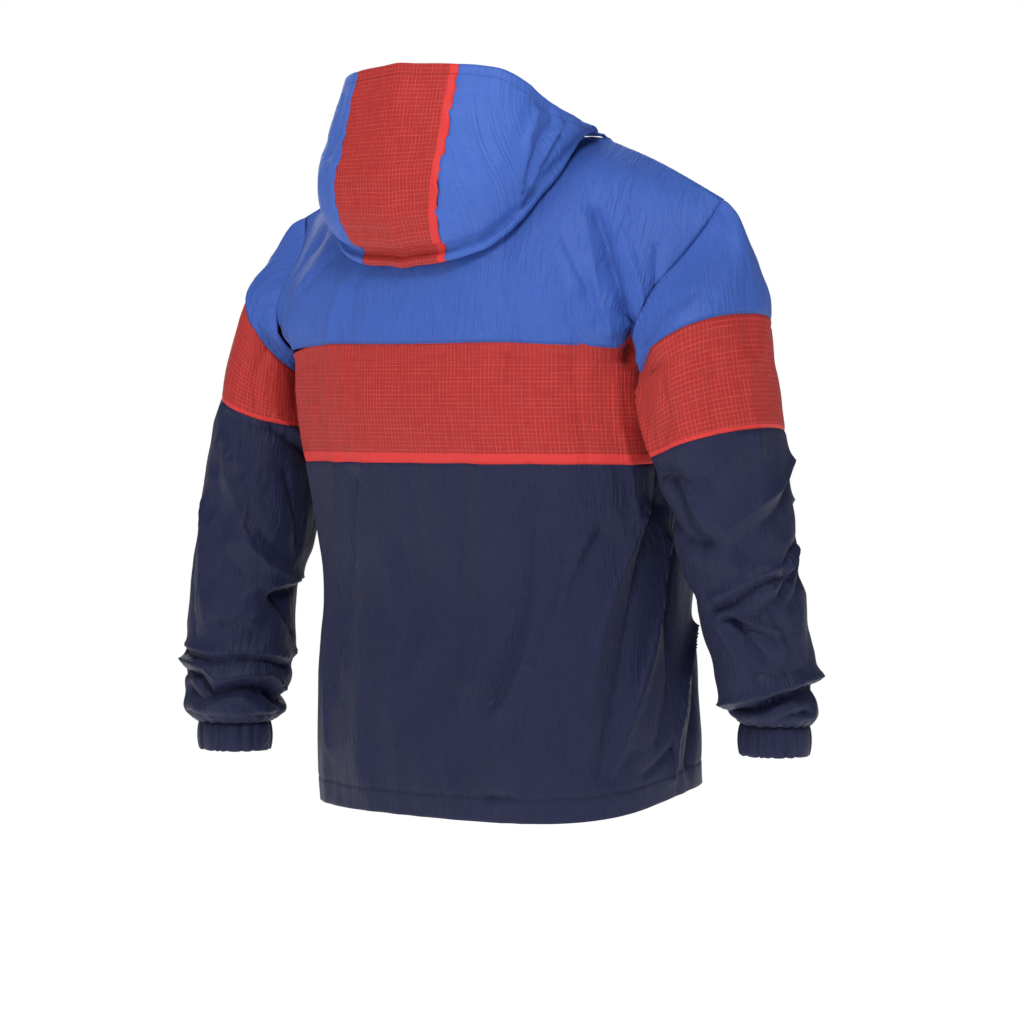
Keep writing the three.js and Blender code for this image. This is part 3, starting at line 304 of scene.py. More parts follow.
def wall_side(node, inside):
    """The outward side of a CAD wall: its points and its triangles, without rims and inner side."""
    mesh = bmesh.new()
    mesh.from_mesh(frame["nodes"][node].data)
    bmesh.ops.remove_doubles(mesh, verts=mesh.verts, dist=1e-6)
    thick = [f for f in mesh.faces if any(abs(e.calc_length() - CAD_WALL) < 2e-6 for e in f.edges)]
    rims = [f for group in joined(thick) if len(group) > 8 for f in group]
    bmesh.ops.delete(mesh, geom=rims, context="FACES")
    mesh.normal_update()
    best = max(joined(mesh.faces), key=lambda side: sum(
        f.calc_area() * f.normal.dot(f.calc_center_median() - inside) for f in side))
    order = {}
    for face in best:
        for vert in face.verts:
            order.setdefault(vert, len(order))
    points = np.array([vert.co[:] for vert in order])
    triangles = [[order[v] for v in face.verts] for face in best]
    mesh.free()
    return points, triangles


def chain(links):
    """Walks a line or loop of linked points."""
    ends = [v for v in links if len(links[v]) == 1]
    path = [min(ends) if ends else min(links)]
    while True:
        ahead = [v for v in links[path[-1]] if v not in path[-2:]]
        ahead = [v for v in ahead if v != path[0]]
        if not ahead:
            return path
        path.append(ahead[0])


def links_of(edges):
    links = {}
    for a, b in edges:
        links.setdefault(a, set()).add(b)
        links.setdefault(b, set()).add(a)
    return links


def rim_edges(triangles):
    seen = {}
    for triangle in triangles:
        for i in range(3):
            edge = frozenset((triangle[i], triangle[i - 1]))
            seen[edge] = seen.get(edge, 0) + 1
    return [tuple(edge) for edge, count in seen.items() if count == 1]


def net_of(node, inside, near, begin, closed):
    """The wall's points as rows and columns: row 0 is the edge nearest `near`, column 0 nearest `begin`."""
    points, triangles = wall_side(node, inside)
    near, begin = np.array(near), np.array(begin)
    rim = links_of(rim_edges(triangles))
    if closed:
        loops = []
        todo = dict(rim)
        while todo:
            loop = chain(todo)
            loops.append(loop)
            for v in loop:
                todo.pop(v)
        first = min(loops, key=lambda loop: np.linalg.norm(points[loop].mean(0) - near))
        start = min(range(len(first)), key=lambda i: np.linalg.norm(points[first[i]] - begin))
        first = first[start:] + first[:start]
        if points[first[1]][1] < points[first[-1]][1]:
            first = first[:1] + first[:0:-1]
    else:
        loop = chain(rim)
        faces = {v: sum(v in t for t in triangles) for v in loop}
        corner = [i for i, v in enumerate(loop) if faces[v] <= 2]
        sides = []
        for a, b in zip(corner, corner[1:] + [corner[0] + len(loop)]):
            sides.append([loop[i % len(loop)] for i in range(a, b + 1)])
        first = min(sides, key=lambda side: np.linalg.norm(points[side].mean(0) - near))
        if np.linalg.norm(points[first[-1]] - begin) < np.linalg.norm(points[first[0]] - begin):
            first = first[::-1]
    rows = [first]
    left = [set(t) for t in triangles]
    while left:
        row = set(rows[-1])
        strip = [t for t in left if t & row]
        left = [t for t in left if not t & row]
        pairs = {frozenset(t - row) for t in strip if len(t - row) == 2}
        after = chain(links_of([tuple(pair) for pair in pairs]))
        places = points[rows[-1]]
        if closed:
            turns = [after[s:] + after[:s] for s in range(len(after))]
            turns += [t[:1] + t[:0:-1] for t in turns]
            after = min(turns, key=lambda t: np.linalg.norm(points[t] - places, axis=1).sum())
        elif np.linalg.norm(points[after[-1]] - places[0]) < np.linalg.norm(points[after[0]] - places[0]):
            after = after[::-1]
        rows.append(after)
    return points[np.array(rows)]


def lengths(net, axis, closed=False):
    """Mean length along an axis of the net, from 0 at its first row or column."""
    if closed:
        net = np.concatenate([net, net.take([0], axis)], axis)
    steps = np.linalg.norm(np.diff(net, axis=axis), axis=2).mean(1 - axis)
    return np.concatenate([[0], np.cumsum(steps)])


def curve(values, knots, places):
    """A smooth curve through values at knots, read at places."""
    gaps = np.diff(knots)
    shape = (-1,) + (1,) * (values.ndim - 1)
    rates = np.diff(values, axis=0) / gaps.reshape(shape)
    before, after = gaps[:-1].reshape(shape), gaps[1:].reshape(shape)
    inner = (after * rates[:-1] + before * rates[1:]) / (before + after)
    slopes = np.concatenate([rates[:1], inner, rates[-1:]])
    k = np.clip(np.searchsorted(knots, places, "right") - 1, 0, len(knots) - 2)
    gap = gaps[k].reshape(shape)
    t = ((places - knots[k]) / gaps[k]).reshape(shape)
    return (
        (2 * t ** 3 - 3 * t ** 2 + 1) * values[k]
        + (t ** 3 - 2 * t ** 2 + t) * gap * slopes[k]
        + (3 * t ** 2 - 2 * t ** 3) * values[k + 1]
        + (t ** 3 - t ** 2) * gap * slopes[k + 1]
    )


def refined(net, closed, cell):
    """The net's surface, read at even steps of about one cell where it is longest."""
    up, across = lengths(net, 0), lengths(net, 1, closed)
    longest = np.linalg.norm(np.diff(net, axis=0), axis=2).sum(0).max()
    rows = np.linspace(0, up[-1], max(3, round(longest / cell)) + 1)
    count = max(3, round(across[-1] / cell))
    fine = curve(net, up, rows)
    columns = np.swapaxes(fine, 0, 1)
    if closed:
        knots = np.concatenate([across[-4:-1] - across[-1], across[:-1], across[:4] + across[-1]])
        columns = np.concatenate([columns[-3:], columns, columns[:4]])
        places = np.arange(count) * across[-1] / count
    else:
        knots, places = across, np.linspace(0, across[-1], count + 1)
    return np.swapaxes(curve(columns, knots, places), 0, 1)


def padded_ends(grid, closed):
    if closed:
        return np.concatenate([grid[:, -1:], grid, grid[:, :1]], 1)
    first = 2 * grid[:, :1] - grid[:, 1:2]
    last = 2 * grid[:, -1:] - grid[:, -2:-1]
    return np.concatenate([first, grid, last], 1)


def directions(grid, closed, inside):
    """Unit directions out of the surface, along its columns and along its rows."""
    across = padded_ends(grid, closed)
    across = across[:, 2:] - across[:, :-2]
    up = np.gradient(grid, axis=0)
    out = np.cross(across, up)
    out /= np.linalg.norm(out, axis=2, keepdims=True) + 1e-12
    steps = np.linalg.norm(across, axis=2) * np.linalg.norm(up, axis=2)
    if (steps[..., None] * out * (grid - np.array(inside))).sum() < 0:
        out = -out
    return out


# Creases

def round_from(grid, centres):
    """Offsets in x and y from a centre line, at the height of each point of a grid."""
    x = np.interp(grid[..., 2], centres[:, 2], centres[:, 0])
    y = np.interp(grid[..., 2], centres[:, 2], centres[:, 1])
    return grid[..., 0] - x, grid[..., 1] - y


def crease_depth(creases, turn, radius, height, edge):
    """Sum of the creases at points given by degrees round, radius and height, in millimetres."""
    total = np.zeros(turn.shape)
    for crease in creases:
        points = crease.points
        last = crease.depth if crease.end is None else crease.end
        nearest = np.full(turn.shape, 1e9)
        depth = np.zeros(turn.shape)
        for k, ((turn_a, up_a), (turn_b, up_b)) in enumerate(zip(points, points[1:])):
            away = (turn - turn_a + 180) % 360 - 180
            ax, az = -np.radians(away) * radius, up_a - height
            bx, bz = ax + np.radians(turn_b - turn_a) * radius, up_b - height
            dx, dz = bx - ax, bz - az
            t = np.clip(-(ax * dx + az * dz) / (dx * dx + dz * dz + 1e-9), 0, 1)
            gap = np.hypot(ax + t * dx, az + t * dz)
            share = (k + t) / (len(points) - 1)
            here = crease.depth + (last - crease.depth) * share
            depth = np.where(gap < nearest, here, depth)
            nearest = np.minimum(gap, nearest)
        total += depth * np.exp(-((nearest / crease.width) ** edge))
    return total


def on_surface(points, grid, start):
    """The crease's points drawn onto the cloth, where they lie near it, with more between them."""
    places = grid[start:].reshape(-1, 3)
    drawn = []
    for a, b in zip(points, points[1:]):
        for share in np.arange(0, 1, 0.25):
            drawn.append(a + (b - a) * share)
    drawn.append(points[-1])
    for k, point in enumerate(drawn):
        gaps = np.linalg.norm(places - point, axis=1)
        if gaps.min() < HOOD_REACH:
            drawn[k] = places[gaps.argmin()]
    return drawn


def crease_in_space(creases, grid, start):
    """Sum of the hood's creases at each point of its grid, from the first row of the outer layer."""
    total = np.zeros(grid.shape[:2])
    for crease in creases:
        points = on_surface([np.array(point, float) for point in crease.points], grid, start)
        last = crease.depth if crease.end is None else crease.end
        nearest = np.full(grid.shape[:2], 1e9)
        depth = np.zeros(grid.shape[:2])
        for k in range(len(points) - 1):
            along = points[k + 1] - points[k]
            t = np.clip(((grid - points[k]) @ along) / (along @ along + 1e-9), 0, 1)
            gap = np.linalg.norm(grid - points[k] - t[..., None] * along, axis=2)
            share = (k + t) / (len(points) - 1)
            here = crease.depth + (last - crease.depth) * share
            depth = np.where(gap < nearest, here, depth)
            nearest = np.minimum(gap, nearest)
        total += depth * np.exp(-((nearest / crease.width) ** 1.25))
    return total


def crinkle(across, up, seed, style):
    """Crinkles drawn out up the cloth, sharper where the crest is small, as heights from about -1 to 1."""
    stretch = style.stretch
    flat = np.stack([across.ravel(), up.ravel()], 1)
    values = []
    for x, y in flat:
        bend = 0.9 * noise.noise(Vector((x * 9, y * 7, seed + 5)))
        patch = 0.55 + 0.9 * noise.noise(Vector((x * 7, y * 5, seed + 3)))
        wide = noise.noise(Vector((x * 24 + bend, y * 24 / stretch + bend, seed)))
        thin = noise.noise(Vector((x * 52 + bend, y * 52 / stretch + bend, seed + 9)))
        fine = noise.noise(Vector((x * 110, y * 110 / stretch + bend, seed + 14)))
        broad = math.sqrt(wide * wide + style.crest)
        narrow = math.sqrt(thin * thin + style.crest)
        values.append((0.9 - 3.0 * broad) * (0.5 + patch) + style.thin * (0.3 - narrow) * patch + 0.08 * fine)
    return np.array(values).reshape(across.shape)


# Cloth pieces

Panel = namedtuple("Panel", "node kind inside near begin flat area cloth sewn crinkle")

BODY_INSIDE = (0, 0, -0.4)
LOW = (0, 0, -9)
BACK_BEGIN, FRONT_BEGIN = (-9, 0, 0), (9, 0, 0)
SLEEVE_INSIDE = {"left": (0.3, 0.045, -0.4), "right": (-0.3, 0.025, -0.4)}
HOOD_INSIDE = (0, 0.02, -0.02)

PANELS = [
    Panel("back_lower", "body", BODY_INSIDE, LOW, (-9, 0, -0.7), (0.62, 0.37), 0.208, "navy", "trl", 1.0),
    Panel("back_stripe", "body", BODY_INSIDE, LOW, (-9, 0, -0.3), (0.64, 0.13), 0.075, "red", "btrl", 0.8),
    Panel("back_yoke", "body", BODY_INSIDE, LOW, (-9, 0, -0.2), (0.64, 0.27), 0.135, "blue", "btrl", 0.9),
    Panel("front_left_lower", "body", BODY_INSIDE, LOW, (0, -1, -0.7), (0.31, 0.36), 0.100, "navy", "trl", 1.0),
    Panel("front_left_stripe", "body", BODY_INSIDE, LOW, (0, -1, -0.3), (0.31, 0.13), 0.036, "red", "btrl", 0.8),
    Panel("front_left_yoke", "body", BODY_INSIDE, LOW, (0, -1, -0.2), (0.32, 0.23), 0.057, "blue", "btrl", 0.9),
    Panel("front_right_lower", "body", BODY_INSIDE, LOW, (-9, 0, -0.7), (0.31, 0.35), 0.094, "navy", "trl", 1.0),
    Panel("front_right_stripe", "body", BODY_INSIDE, LOW, (-9, 0, -0.3), (0.31, 0.13), 0.036, "red", "btrl", 0.8),
    Panel("front_right_yoke", "body", BODY_INSIDE, LOW, (-9, 0, -0.2), (0.32, 0.23), 0.057, "blue", "btrl", 0.9),
    Panel("sleeve_left_cap", "left", (0.27, 0.03, -0.17), LOW, (0, 0, -0.25), (0.44, 0.15), 0.026, "blue", "bt", 0.9),
    Panel("sleeve_left_stripe", "left", SLEEVE_INSIDE["left"], LOW, (0, 0, -0.3), (0.44, 0.11), 0.035, "red", "bt", 0.7),
    Panel("sleeve_left_lower", "left", SLEEVE_INSIDE["left"], LOW, (0, 0, -0.6), (0.42, 0.34), 0.118, "navy", "bt", 1.5),
    Panel("sleeve_right_cap", "right", (-0.27, 0.04, -0.18), LOW, (0, 0, -0.25), (0.46, 0.17), 0.036, "blue", "bt", 0.9),
    Panel("sleeve_right_stripe", "right", SLEEVE_INSIDE["right"], LOW, (0, 0, -0.3), (0.46, 0.11), 0.040, "red", "bt", 0.7),
    Panel("sleeve_right_lower", "right", SLEEVE_INSIDE["right"], LOW, (0, 0, -0.6), (0.42, 0.31), 0.098, "navy", "bt", 1.5),
    Panel("hood_side_right", "hood", (0, 0.02, -0.02), (-0.070, -0.015, -0.035), (0, -9, 0), (0.38, 0.30), 0.042, "blue", "br", 0.60),
    Panel("hood_centre", "hood", (0, 0.02, -0.02), (0, 0.062, -0.02), (-9, 0, 0), (0.14, 0.40), 0.046, "red", "blr", 0.35),
    Panel("hood_side_left", "hood", (0, 0.02, -0.02), (0.070, -0.015, -0.035), (0, 9, 0), (0.38, 0.30), 0.042, "blue", "bl", 0.60),
]
TUBES = ("left", "right", "cuff")

nets = {}
for panel in PANELS:
    nets[panel.node] = net_of(panel.node, Vector(panel.inside), panel.near, panel.begin, panel.kind in TUBES)


def centre_line(side):
    """The middle of a sleeve's rings, from the wrist up."""
    rings = []
    for part in ("lower", "stripe", "cap"):
        rings += [row.mean(0) for row in nets[f"sleeve_{side}_{part}"]]
    return np.array(sorted(rings, key=lambda ring: ring[2]))


CENTRES = {
    "left": centre_line("left"),
    "right": centre_line("right"),
    "body": np.array([(0, 0, -1.0), (0, 0, 0.0)]),
}
CREASES = {"left": LEFT_SLEEVE_CREASES, "right": RIGHT_SLEEVE_CREASES, "body": BODY_CREASES}
CRINKLES = {
    "left": Crinkles(1.5, 0.003, 1.6),
    "right": Crinkles(1.5, 0.003, 1.6),
    "body": Crinkles(5.0, 0.016, 0.12),
    "hood": Crinkles(1.2, 0.004, 1.0),
}
CREASE_GAIN = {"left": 2.4, "right": 2.7, "body": 2.5}
CREASE_EDGE = {"left": 0.95, "right": 0.95, "body": 1.05}


def creases_on(kind, grid):
    if kind == "hood":
        outer = smooth((np.linspace(0, 1, len(grid)) - HOOD_OUTER) / 0.1)[:, None]
        return crease_in_space(HOOD_CREASES, grid / MM, int(len(grid) * HOOD_OUTER)) * outer
    x, y = round_from(grid, CENTRES[kind])
    turn = np.degrees(np.arctan2(x, y))
    if kind == "left":
        turn = np.degrees(np.arctan2(y, x))
    if kind == "right":
        turn = np.degrees(np.arctan2(y, -x))
    depth = crease_depth(CREASES[kind], turn, np.hypot(x, y) / MM, grid[..., 2] / MM, CREASE_EDGE[kind])
    return CREASE_GAIN[kind] * depth


def cloth_mesh(name, grid, closed, maps):
    """A mesh of the grid, with its named UV maps."""
    rows, columns = grid.shape[:2]
    width = columns if closed else columns - 1
    faces, corners = [], []
    for i in range(rows - 1):
        for j in range(width):
            after = (j + 1) % columns
            faces.append((i * columns + j, i * columns + after, (i + 1) * columns + after, (i + 1) * columns + j))
            corners += [(i, j), (i, j + 1), (i + 1, j + 1), (i + 1, j)]
    mesh = bpy.data.meshes.new(name)
    mesh.from_pydata(grid.reshape(-1, 3).tolist(), [], faces)
    corners = np.array(corners)
    for map_name, (first, second) in maps.items():
        layer = mesh.uv_layers.new(name=map_name)
        pairs = np.stack([first[corners[:, 0], corners[:, 1]], second[corners[:, 0], corners[:, 1]]], 1)
        layer.data.foreach_set("uv", pairs.astype(np.float32).ravel())
    piece = bpy.data.objects.new(name, mesh)
    bpy.context.scene.collection.objects.link(piece)
    return piece


def select_only(piece):
    bpy.ops.object.select_all(action="DESELECT")
    piece.select_set(True)
    bpy.context.view_layer.objects.active = piece


def finish_sheet(piece, grid, out):
    """Turns the faces outward, gives the cloth its thickness and smooths it."""
    face = piece.data.polygons[len(piece.data.polygons) // 2]
    outward = out.reshape(-1, 3)[face.vertices[0]]
    if face.normal.dot(Vector(outward)) < 0:
        piece.data.flip_normals()
    select_only(piece)
    shell = piece.modifiers.new("cloth", "SOLIDIFY")
    shell.thickness = SHELL
    shell.offset = -1
    bpy.ops.object.modifier_apply(modifier=shell.name)
    bpy.ops.object.shade_smooth()


def running(grid, axis, closed=False):
    """Length along each row (axis 1) or column (axis 0), from its start."""
    if closed:
        grid = np.concatenate([grid, grid[:, :1]], 1)
    steps = np.linalg.norm(np.diff(grid, axis=axis), axis=2)
    start = np.zeros_like(steps.take([0], axis))
    return np.concatenate([start, np.cumsum(steps, axis)], axis)


def edge_lengths(grid, closed):
    """At each corner of the cloth: lengths from the bottom, top, first and last columns."""
    up, across = running(grid, 0), running(grid, 1, closed)
    if closed:
        up = np.concatenate([up, up[:, :1]], 1)
    return up, up[-1:] - up, across, across[:, -1:] - across


def sewn_edge(panel, bottom, top, first, last):
    """Distance to the nearest sewn edge."""
    known = {"b": bottom, "t": top, "l": first, "r": last}
    return np.min([known[side] for side in panel.sewn], axis=0)


def close_gap(grid, out, panel):
    """Laps the sewn edges over the gap between the solids; tops and last columns lie underneath."""
    for side in panel.sewn:
        if side in "bt":
            edge, inner = (0, 1) if side == "b" else (-1, -2)
            step = grid[edge] - grid[inner]
            grid[edge] += step / np.linalg.norm(step, axis=1, keepdims=True) * (SEAM_GAP / 2 + SEAM_LAP)
            if side == "t":
                grid[edge] -= out[edge] * SEAM_TUCK
        elif panel.kind not in TUBES:
            edge, inner = (0, 1) if side == "l" else (-1, -2)
            step = grid[:, edge] - grid[:, inner]
            grid[:, edge] += step / np.linalg.norm(step, axis=1, keepdims=True) * (SEAM_GAP / 2 + SEAM_LAP)
            if side == "r":
                grid[:, edge] -= out[:, edge] * SEAM_TUCK
    return grid


def hem_shape(panel, bottom, across):
    """The turned hem: a row of stitches that draws the cloth in, with puckers along it."""
    if not panel.node.endswith("_lower") or panel.kind != "body":
        return 0
    pull = np.exp(-(((bottom - HEM_TURN) / (1.6 * MM)) ** 2))
    near = np.exp(-(((bottom - HEM_TURN) / (9 * MM)) ** 2))
    pucker = np.sin(across * 2 * math.pi / (17 * MM) + 3 * np.sin(across * 31)) * (0.4 + 0.6 * np.sin(across * 23) ** 2)
    return -0.7 * pull + 0.35 * near * pucker


def wrist_gathers(panel, turn, bottom):
    """Tucks that fan out of the cuff seam and fade up the sleeve."""
    if not (panel.kind in ("left", "right") and panel.node.endswith("_lower")):
        return 0
    fade = np.exp(-bottom / (9 * MM))
    angle = np.radians(turn)
    tucks = np.abs(np.sin(9 * angle + 0.9 * np.sin(2 * angle + 1))) ** 0.7 - 0.5
    return 2.2 * fade * tucks


def seam_wave(panel, place, first, last):
    """The hood's long seams wander a little from side to side where their stitches gather the cloth."""
    if panel.kind != "hood":
        return place
    known = {"l": first, "r": last}
    sides = [known[side] for side in panel.sewn if side in known]
    fade = np.exp(-((np.min(sides, axis=0) / (9 * MM)) ** 2))
    wave = np.zeros(fade.shape)
    for i, row in enumerate(place):
        for j, point in enumerate(row):
            if fade[i, j] > 0.01:
                spot = Vector((0.5 if point[0] > 0 else 0.0, point[1], point[2]))
                wave[i, j] = 2.6 * noise.noise(spot * 75) + 1.2 * noise.noise(spot * 190)
    place[..., 0] += wave * fade * MM
    return place


def puckers(panel, sewn, along):
    """Short tucks that run out from a sewn edge."""
    size = 0.5 if panel.kind == "hood" else 0.22
    beat = np.sin(along * 2 * math.pi / (11 * MM) + 4 * np.sin(along * 37))
    return size * beat * (0.4 + 0.6 * np.sin(along * 29) ** 2) * np.exp(-sewn / (7 * MM)) * smooth(sewn / (1.5 * MM))


def lowered_collar(grid):
    """Beside the neck and in front of it the hood's free edge sinks towards the neck seam."""
    back = grid[..., 1]
    share = 0.55 * smooth((0.030 - back) / 0.035) * smooth((back + 0.100) / 0.03)
    grid[..., 2] -= share * np.maximum(grid[..., 2] - grid[:1, :, 2], 0)
    return grid


def cloth(panel, seed):
    closed = panel.kind in TUBES
    grid = refined(nets[panel.node], closed, CELL)
    if panel.kind == "hood":
        grid = lowered_collar(grid)
    out = directions(grid, closed, panel.inside)
    bottom, top, first, last = edge_lengths(grid, closed)
    columns = grid.shape[1]
    sewn = sewn_edge(panel, bottom, top, first, last)[:, :columns] if not closed else np.minimum(bottom, top)[:, :columns]
    height = creases_on(panel.kind, grid)
    inland = smooth(sewn / (7 * MM))
    across = first[:, :columns] - first[:, columns // 2:columns // 2 + 1]
    if closed:
        blend = smooth(np.minimum(first, last)[:, :columns] / (12 * MM))
    else:
        blend = 1
    crinkles = crinkle(across, bottom[:, :columns], seed * 7.0, CRINKLES[panel.kind])
    height = height + panel.crinkle * crinkles * inland * blend
    height = height - 0.55 * np.exp(-((sewn / (2.2 * MM)) ** 2))
    along = bottom[:, :columns] if panel.kind == "hood" else first[:, :columns]
    height = height + puckers(panel, sewn, along)
    height = height + hem_shape(panel, bottom[:, :columns], across)
    if panel.kind in CENTRES and closed:
        x, y = round_from(grid, CENTRES[panel.kind])
        height = height + wrist_gathers(panel, np.degrees(np.arctan2(y, x)), bottom[:, :columns])
    place = close_gap(grid + out * height[..., None] * MM, out, panel)
    place = seam_wave(panel, place, first[:, :columns], last[:, :columns])
    middle = first[:, first.shape[1] // 2:first.shape[1] // 2 + 1]
    maps = {
        "cloth": (first - middle, bottom.mean(1, keepdims=True) + 0 * bottom),
        "ends": (bottom, top),
        "sides": (first, last),
    }
    piece = cloth_mesh(panel.node + "_cloth", place, closed, maps)
    finish_sheet(piece, place, out)
    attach(piece, "jacket")
    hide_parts(panel.node)
    steps = np.linalg.norm(np.diff(place, axis=0), axis=2)
    print("SIZE", panel.node, "w %.3f l %.3f" % (first[:, -1].max(), bottom[-1].max()), len(piece.data.polygons))
    return piece


pieces = {panel.node: cloth(panel, seed) for seed, panel in enumerate(PANELS)}


# Elastic cuffs

CUFFS = {"cuff_left": (0.321, 0.073, -0.64), "cuff_right": (-0.318, -0.020, -0.615)}
CUFF_TUCKS = 17


def cuff(node, middle):
    """A band gathered on elastic: uneven tucks that run its whole height."""
    net = net_of(node, Vector(middle), LOW, (0, middle[1], middle[2]), True)
    grid = refined(net, True, 1.6 * MM)
    ring = grid.mean(1, keepdims=True)
    spoke = grid - ring
    angle = np.arctan2(spoke[..., 1], spoke[..., 0])
    radius = np.linalg.norm(spoke[..., :2], axis=2).mean(1, keepdims=True)
    oval = np.linalg.norm(spoke[..., :2], axis=2)
    even = np.convolve(np.tile(oval[0], 3), np.ones(15) / 15, "same")[len(oval[0]):2 * len(oval[0])]
    share = np.linspace(0, 1, len(grid))[:, None]
    phase = CUFF_TUCKS / 2 * angle + 1.3 * np.sin(3 * angle + 0.5) + 0.7 * np.sin(7 * angle)
    tuck = np.abs(np.sin(phase)) ** 0.42
    depth = 4.6 * MM * (0.6 + 0.4 * np.sin(5 * angle + 2) ** 2)
    bulge = 2.2 * MM * np.sin(math.pi * share) ** 0.6
    reach = even[None, :] - 0.6 * MM + bulge + (tuck - 0.75) * depth * (0.75 + 0.25 * np.sin(math.pi * share))
    place = ring + spoke / oval[..., None] * reach[..., None]
    place[..., 2] = grid[..., 2] - (1 - share) ** 3 * (tuck - 0.6) * 1.3 * MM
    place[-1, :, 2] += 0.6 * MM
    out = directions(place, True, middle)
    bottom, top, first, last = edge_lengths(place, True)
    maps = {
        "cloth": (first, bottom.mean(1, keepdims=True) + 0 * bottom),
        "ends": (bottom, top),
        "sides": (first, last),
    }
    piece = cloth_mesh(node + "_cloth", place, True, maps)
    finish_sheet(piece, place, out)
    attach(piece, "jacket")
    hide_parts(node)
    print("SIZE", node, "w %.3f l %.3f" % (first[:, -1].max(), bottom[-1].max()), len(piece.data.polygons))
    return piece


for node, middle in CUFFS.items():
    pieces[node] = cuff(node, middle)


# Zip

TOOTH_PITCH = 1.9 * MM
TAPES = {"zip_tape_left": 1, "zip_tape_right": -1}


def zip_tape(node, side):
    """A woven tape; returns its middle edge, where the coil of teeth goes."""
    net = net_of(node, Vector((side * 0.006, 0.3, -0.4)), (0, -0.15, -9), (0, -0.15, -0.7), False)
    grid = refined(net, False, 1.2 * MM)
    grid = grid[::3] if len(grid) % 3 == 1 else np.concatenate([grid[:-1:3], grid[-1:]])
    out = directions(grid, False, (0, 0.3, -0.4))
    bottom, top, first, last = edge_lengths(grid, False)
    maps = {"cloth": (first, bottom), "ends": (bottom, top), "sides": (first, last)}
    piece = cloth_mesh(node + "_cloth", grid, False, maps)
    finish_sheet(piece, grid, out)
    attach(piece, "jacket")
    line = net[:, 0]
    return piece, line


def tooth_model():
    """One loop of the coil, lying across X with its head towards the zip's middle."""
    bpy.ops.object.select_all(action="DESELECT")
    bpy.ops.mesh.primitive_cylinder_add(vertices=6, radius=0.42 * MM, depth=2.6 * MM, rotation=(0, math.pi / 2, 0))
    tooth = bpy.context.active_object
    bpy.ops.object.transform_apply(location=True, rotation=True, scale=True)
    for vert in tooth.data.vertices:
        head = vert.co.x < 0
        vert.co.y *= 1.5 if head else 1
        vert.co.z *= 1.1 if head else 0.85
    bevel = tooth.modifiers.new("edge", "BEVEL")
    bevel.width = 0.14 * MM
    bevel.segments = 1
    bevel.limit_method = "ANGLE"
    bevel.angle_limit = math.radians(50)
    select_only(tooth)
    bpy.ops.object.modifier_apply(modifier=bevel.name)
    return tooth


def coil(node, side, line, tooth):
    """Teeth at even steps down from the zip's top, the two sides half a step apart."""
    along = np.concatenate([[0], np.cumsum(np.linalg.norm(np.diff(line, axis=0), axis=1))])
    places = np.arange(along[-1] - TOOTH_PITCH * (1 if side > 0 else 1.5), TOOTH_PITCH, -TOOTH_PITCH)
    points = np.stack([np.interp(places, along, line[:, k]) for k in range(3)], 1)
    ahead = np.stack([np.interp(places + 1 * MM, along, line[:, k]) for k in range(3)], 1)
    verts, faces = [], []
    shape = np.array([v.co[:] for v in tooth.data.vertices])
    for point, after in zip(points, ahead):
        up = (after - point) / np.linalg.norm(after - point)
        base = len(verts)
        out = np.array([0, -up[2], up[1]])
        local = shape * [side, 1, 1]
        where = point + [side * 0.62 * MM, 0, 0] + out * 0.25 * MM
        verts += (where + local[:, :1] * [1, 0, 0] + local[:, 1:2] * out + local[:, 2:] * up).tolist()
        order = [list(p.vertices) for p in tooth.data.polygons]
        faces += [[base + v for v in (f if side > 0 else f[::-1])] for f in order]
    mesh = bpy.data.meshes.new(node + "_teeth")
    mesh.from_pydata(verts, [], faces)
    piece = bpy.data.objects.new(node + "_teeth", mesh)
    bpy.context.scene.collection.objects.link(piece)
    select_only(piece)
    bpy.ops.object.mode_set(mode="EDIT")
    bpy.ops.mesh.select_all(action="SELECT")
    bpy.ops.mesh.normals_make_consistent(inside=False)
    bpy.ops.object.mode_set(mode="OBJECT")
    bpy.ops.object.shade_smooth_by_angle(angle=math.radians(40))
    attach(piece, "jacket")
    return piece


tooth = tooth_model()
for node, side in TAPES.items():
    tape, line = zip_tape(node, side)
    teeth = coil(node, side, line, tooth)
    pieces[node] = tape
    pieces[node + "_teeth"] = teeth
    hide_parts(node)
bpy.data.objects.remove(tooth)


# The slider and its tab keep their solids, with rounded edges

for node, width in {"zip_slider": 0.35 * MM, "zip_pull_tab": 0.3 * MM}.items():
    solid = frame["nodes"][node]
    merge = solid.modifiers.new("merge", "WELD")
    merge.merge_threshold = 1e-6
    rounded = solid.modifiers.new("rounded", "BEVEL")
    rounded.width = width
    rounded.segments = 2
    rounded.limit_method = "ANGLE"
    rounded.angle_limit = math.radians(40)


# Shader groups

def new_group(name, inputs, outputs):
    group = bpy.data.node_groups.new(name, "ShaderNodeTree")
    for socket, kind, value in inputs:
        made = group.interface.new_socket(socket, in_out="INPUT", socket_type=kind)
        if value is not None:
            made.default_value = value
    for socket, kind in outputs:
        group.interface.new_socket(socket, in_out="OUTPUT", socket_type=kind)
    return group, group.nodes.new("NodeGroupInput"), group.nodes.new("NodeGroupOutput")


def node(tree, kind, **settings):
    made = tree.nodes.new(kind)
    for key, value in settings.items():
        setattr(made, key, value)
    return made


def math_node(tree, operation, first, second=None, third=None, clamp=False):
    made = node(tree, "ShaderNodeMath", operation=operation, use_clamp=clamp)
    for k, value in enumerate((first, second, third)):
        if value is None:
            continue
        if isinstance(value, (int, float)):
            made.inputs[k].default_value = value
        else:
            tree.links.new(value, made.inputs[k])
    return made.outputs[0]


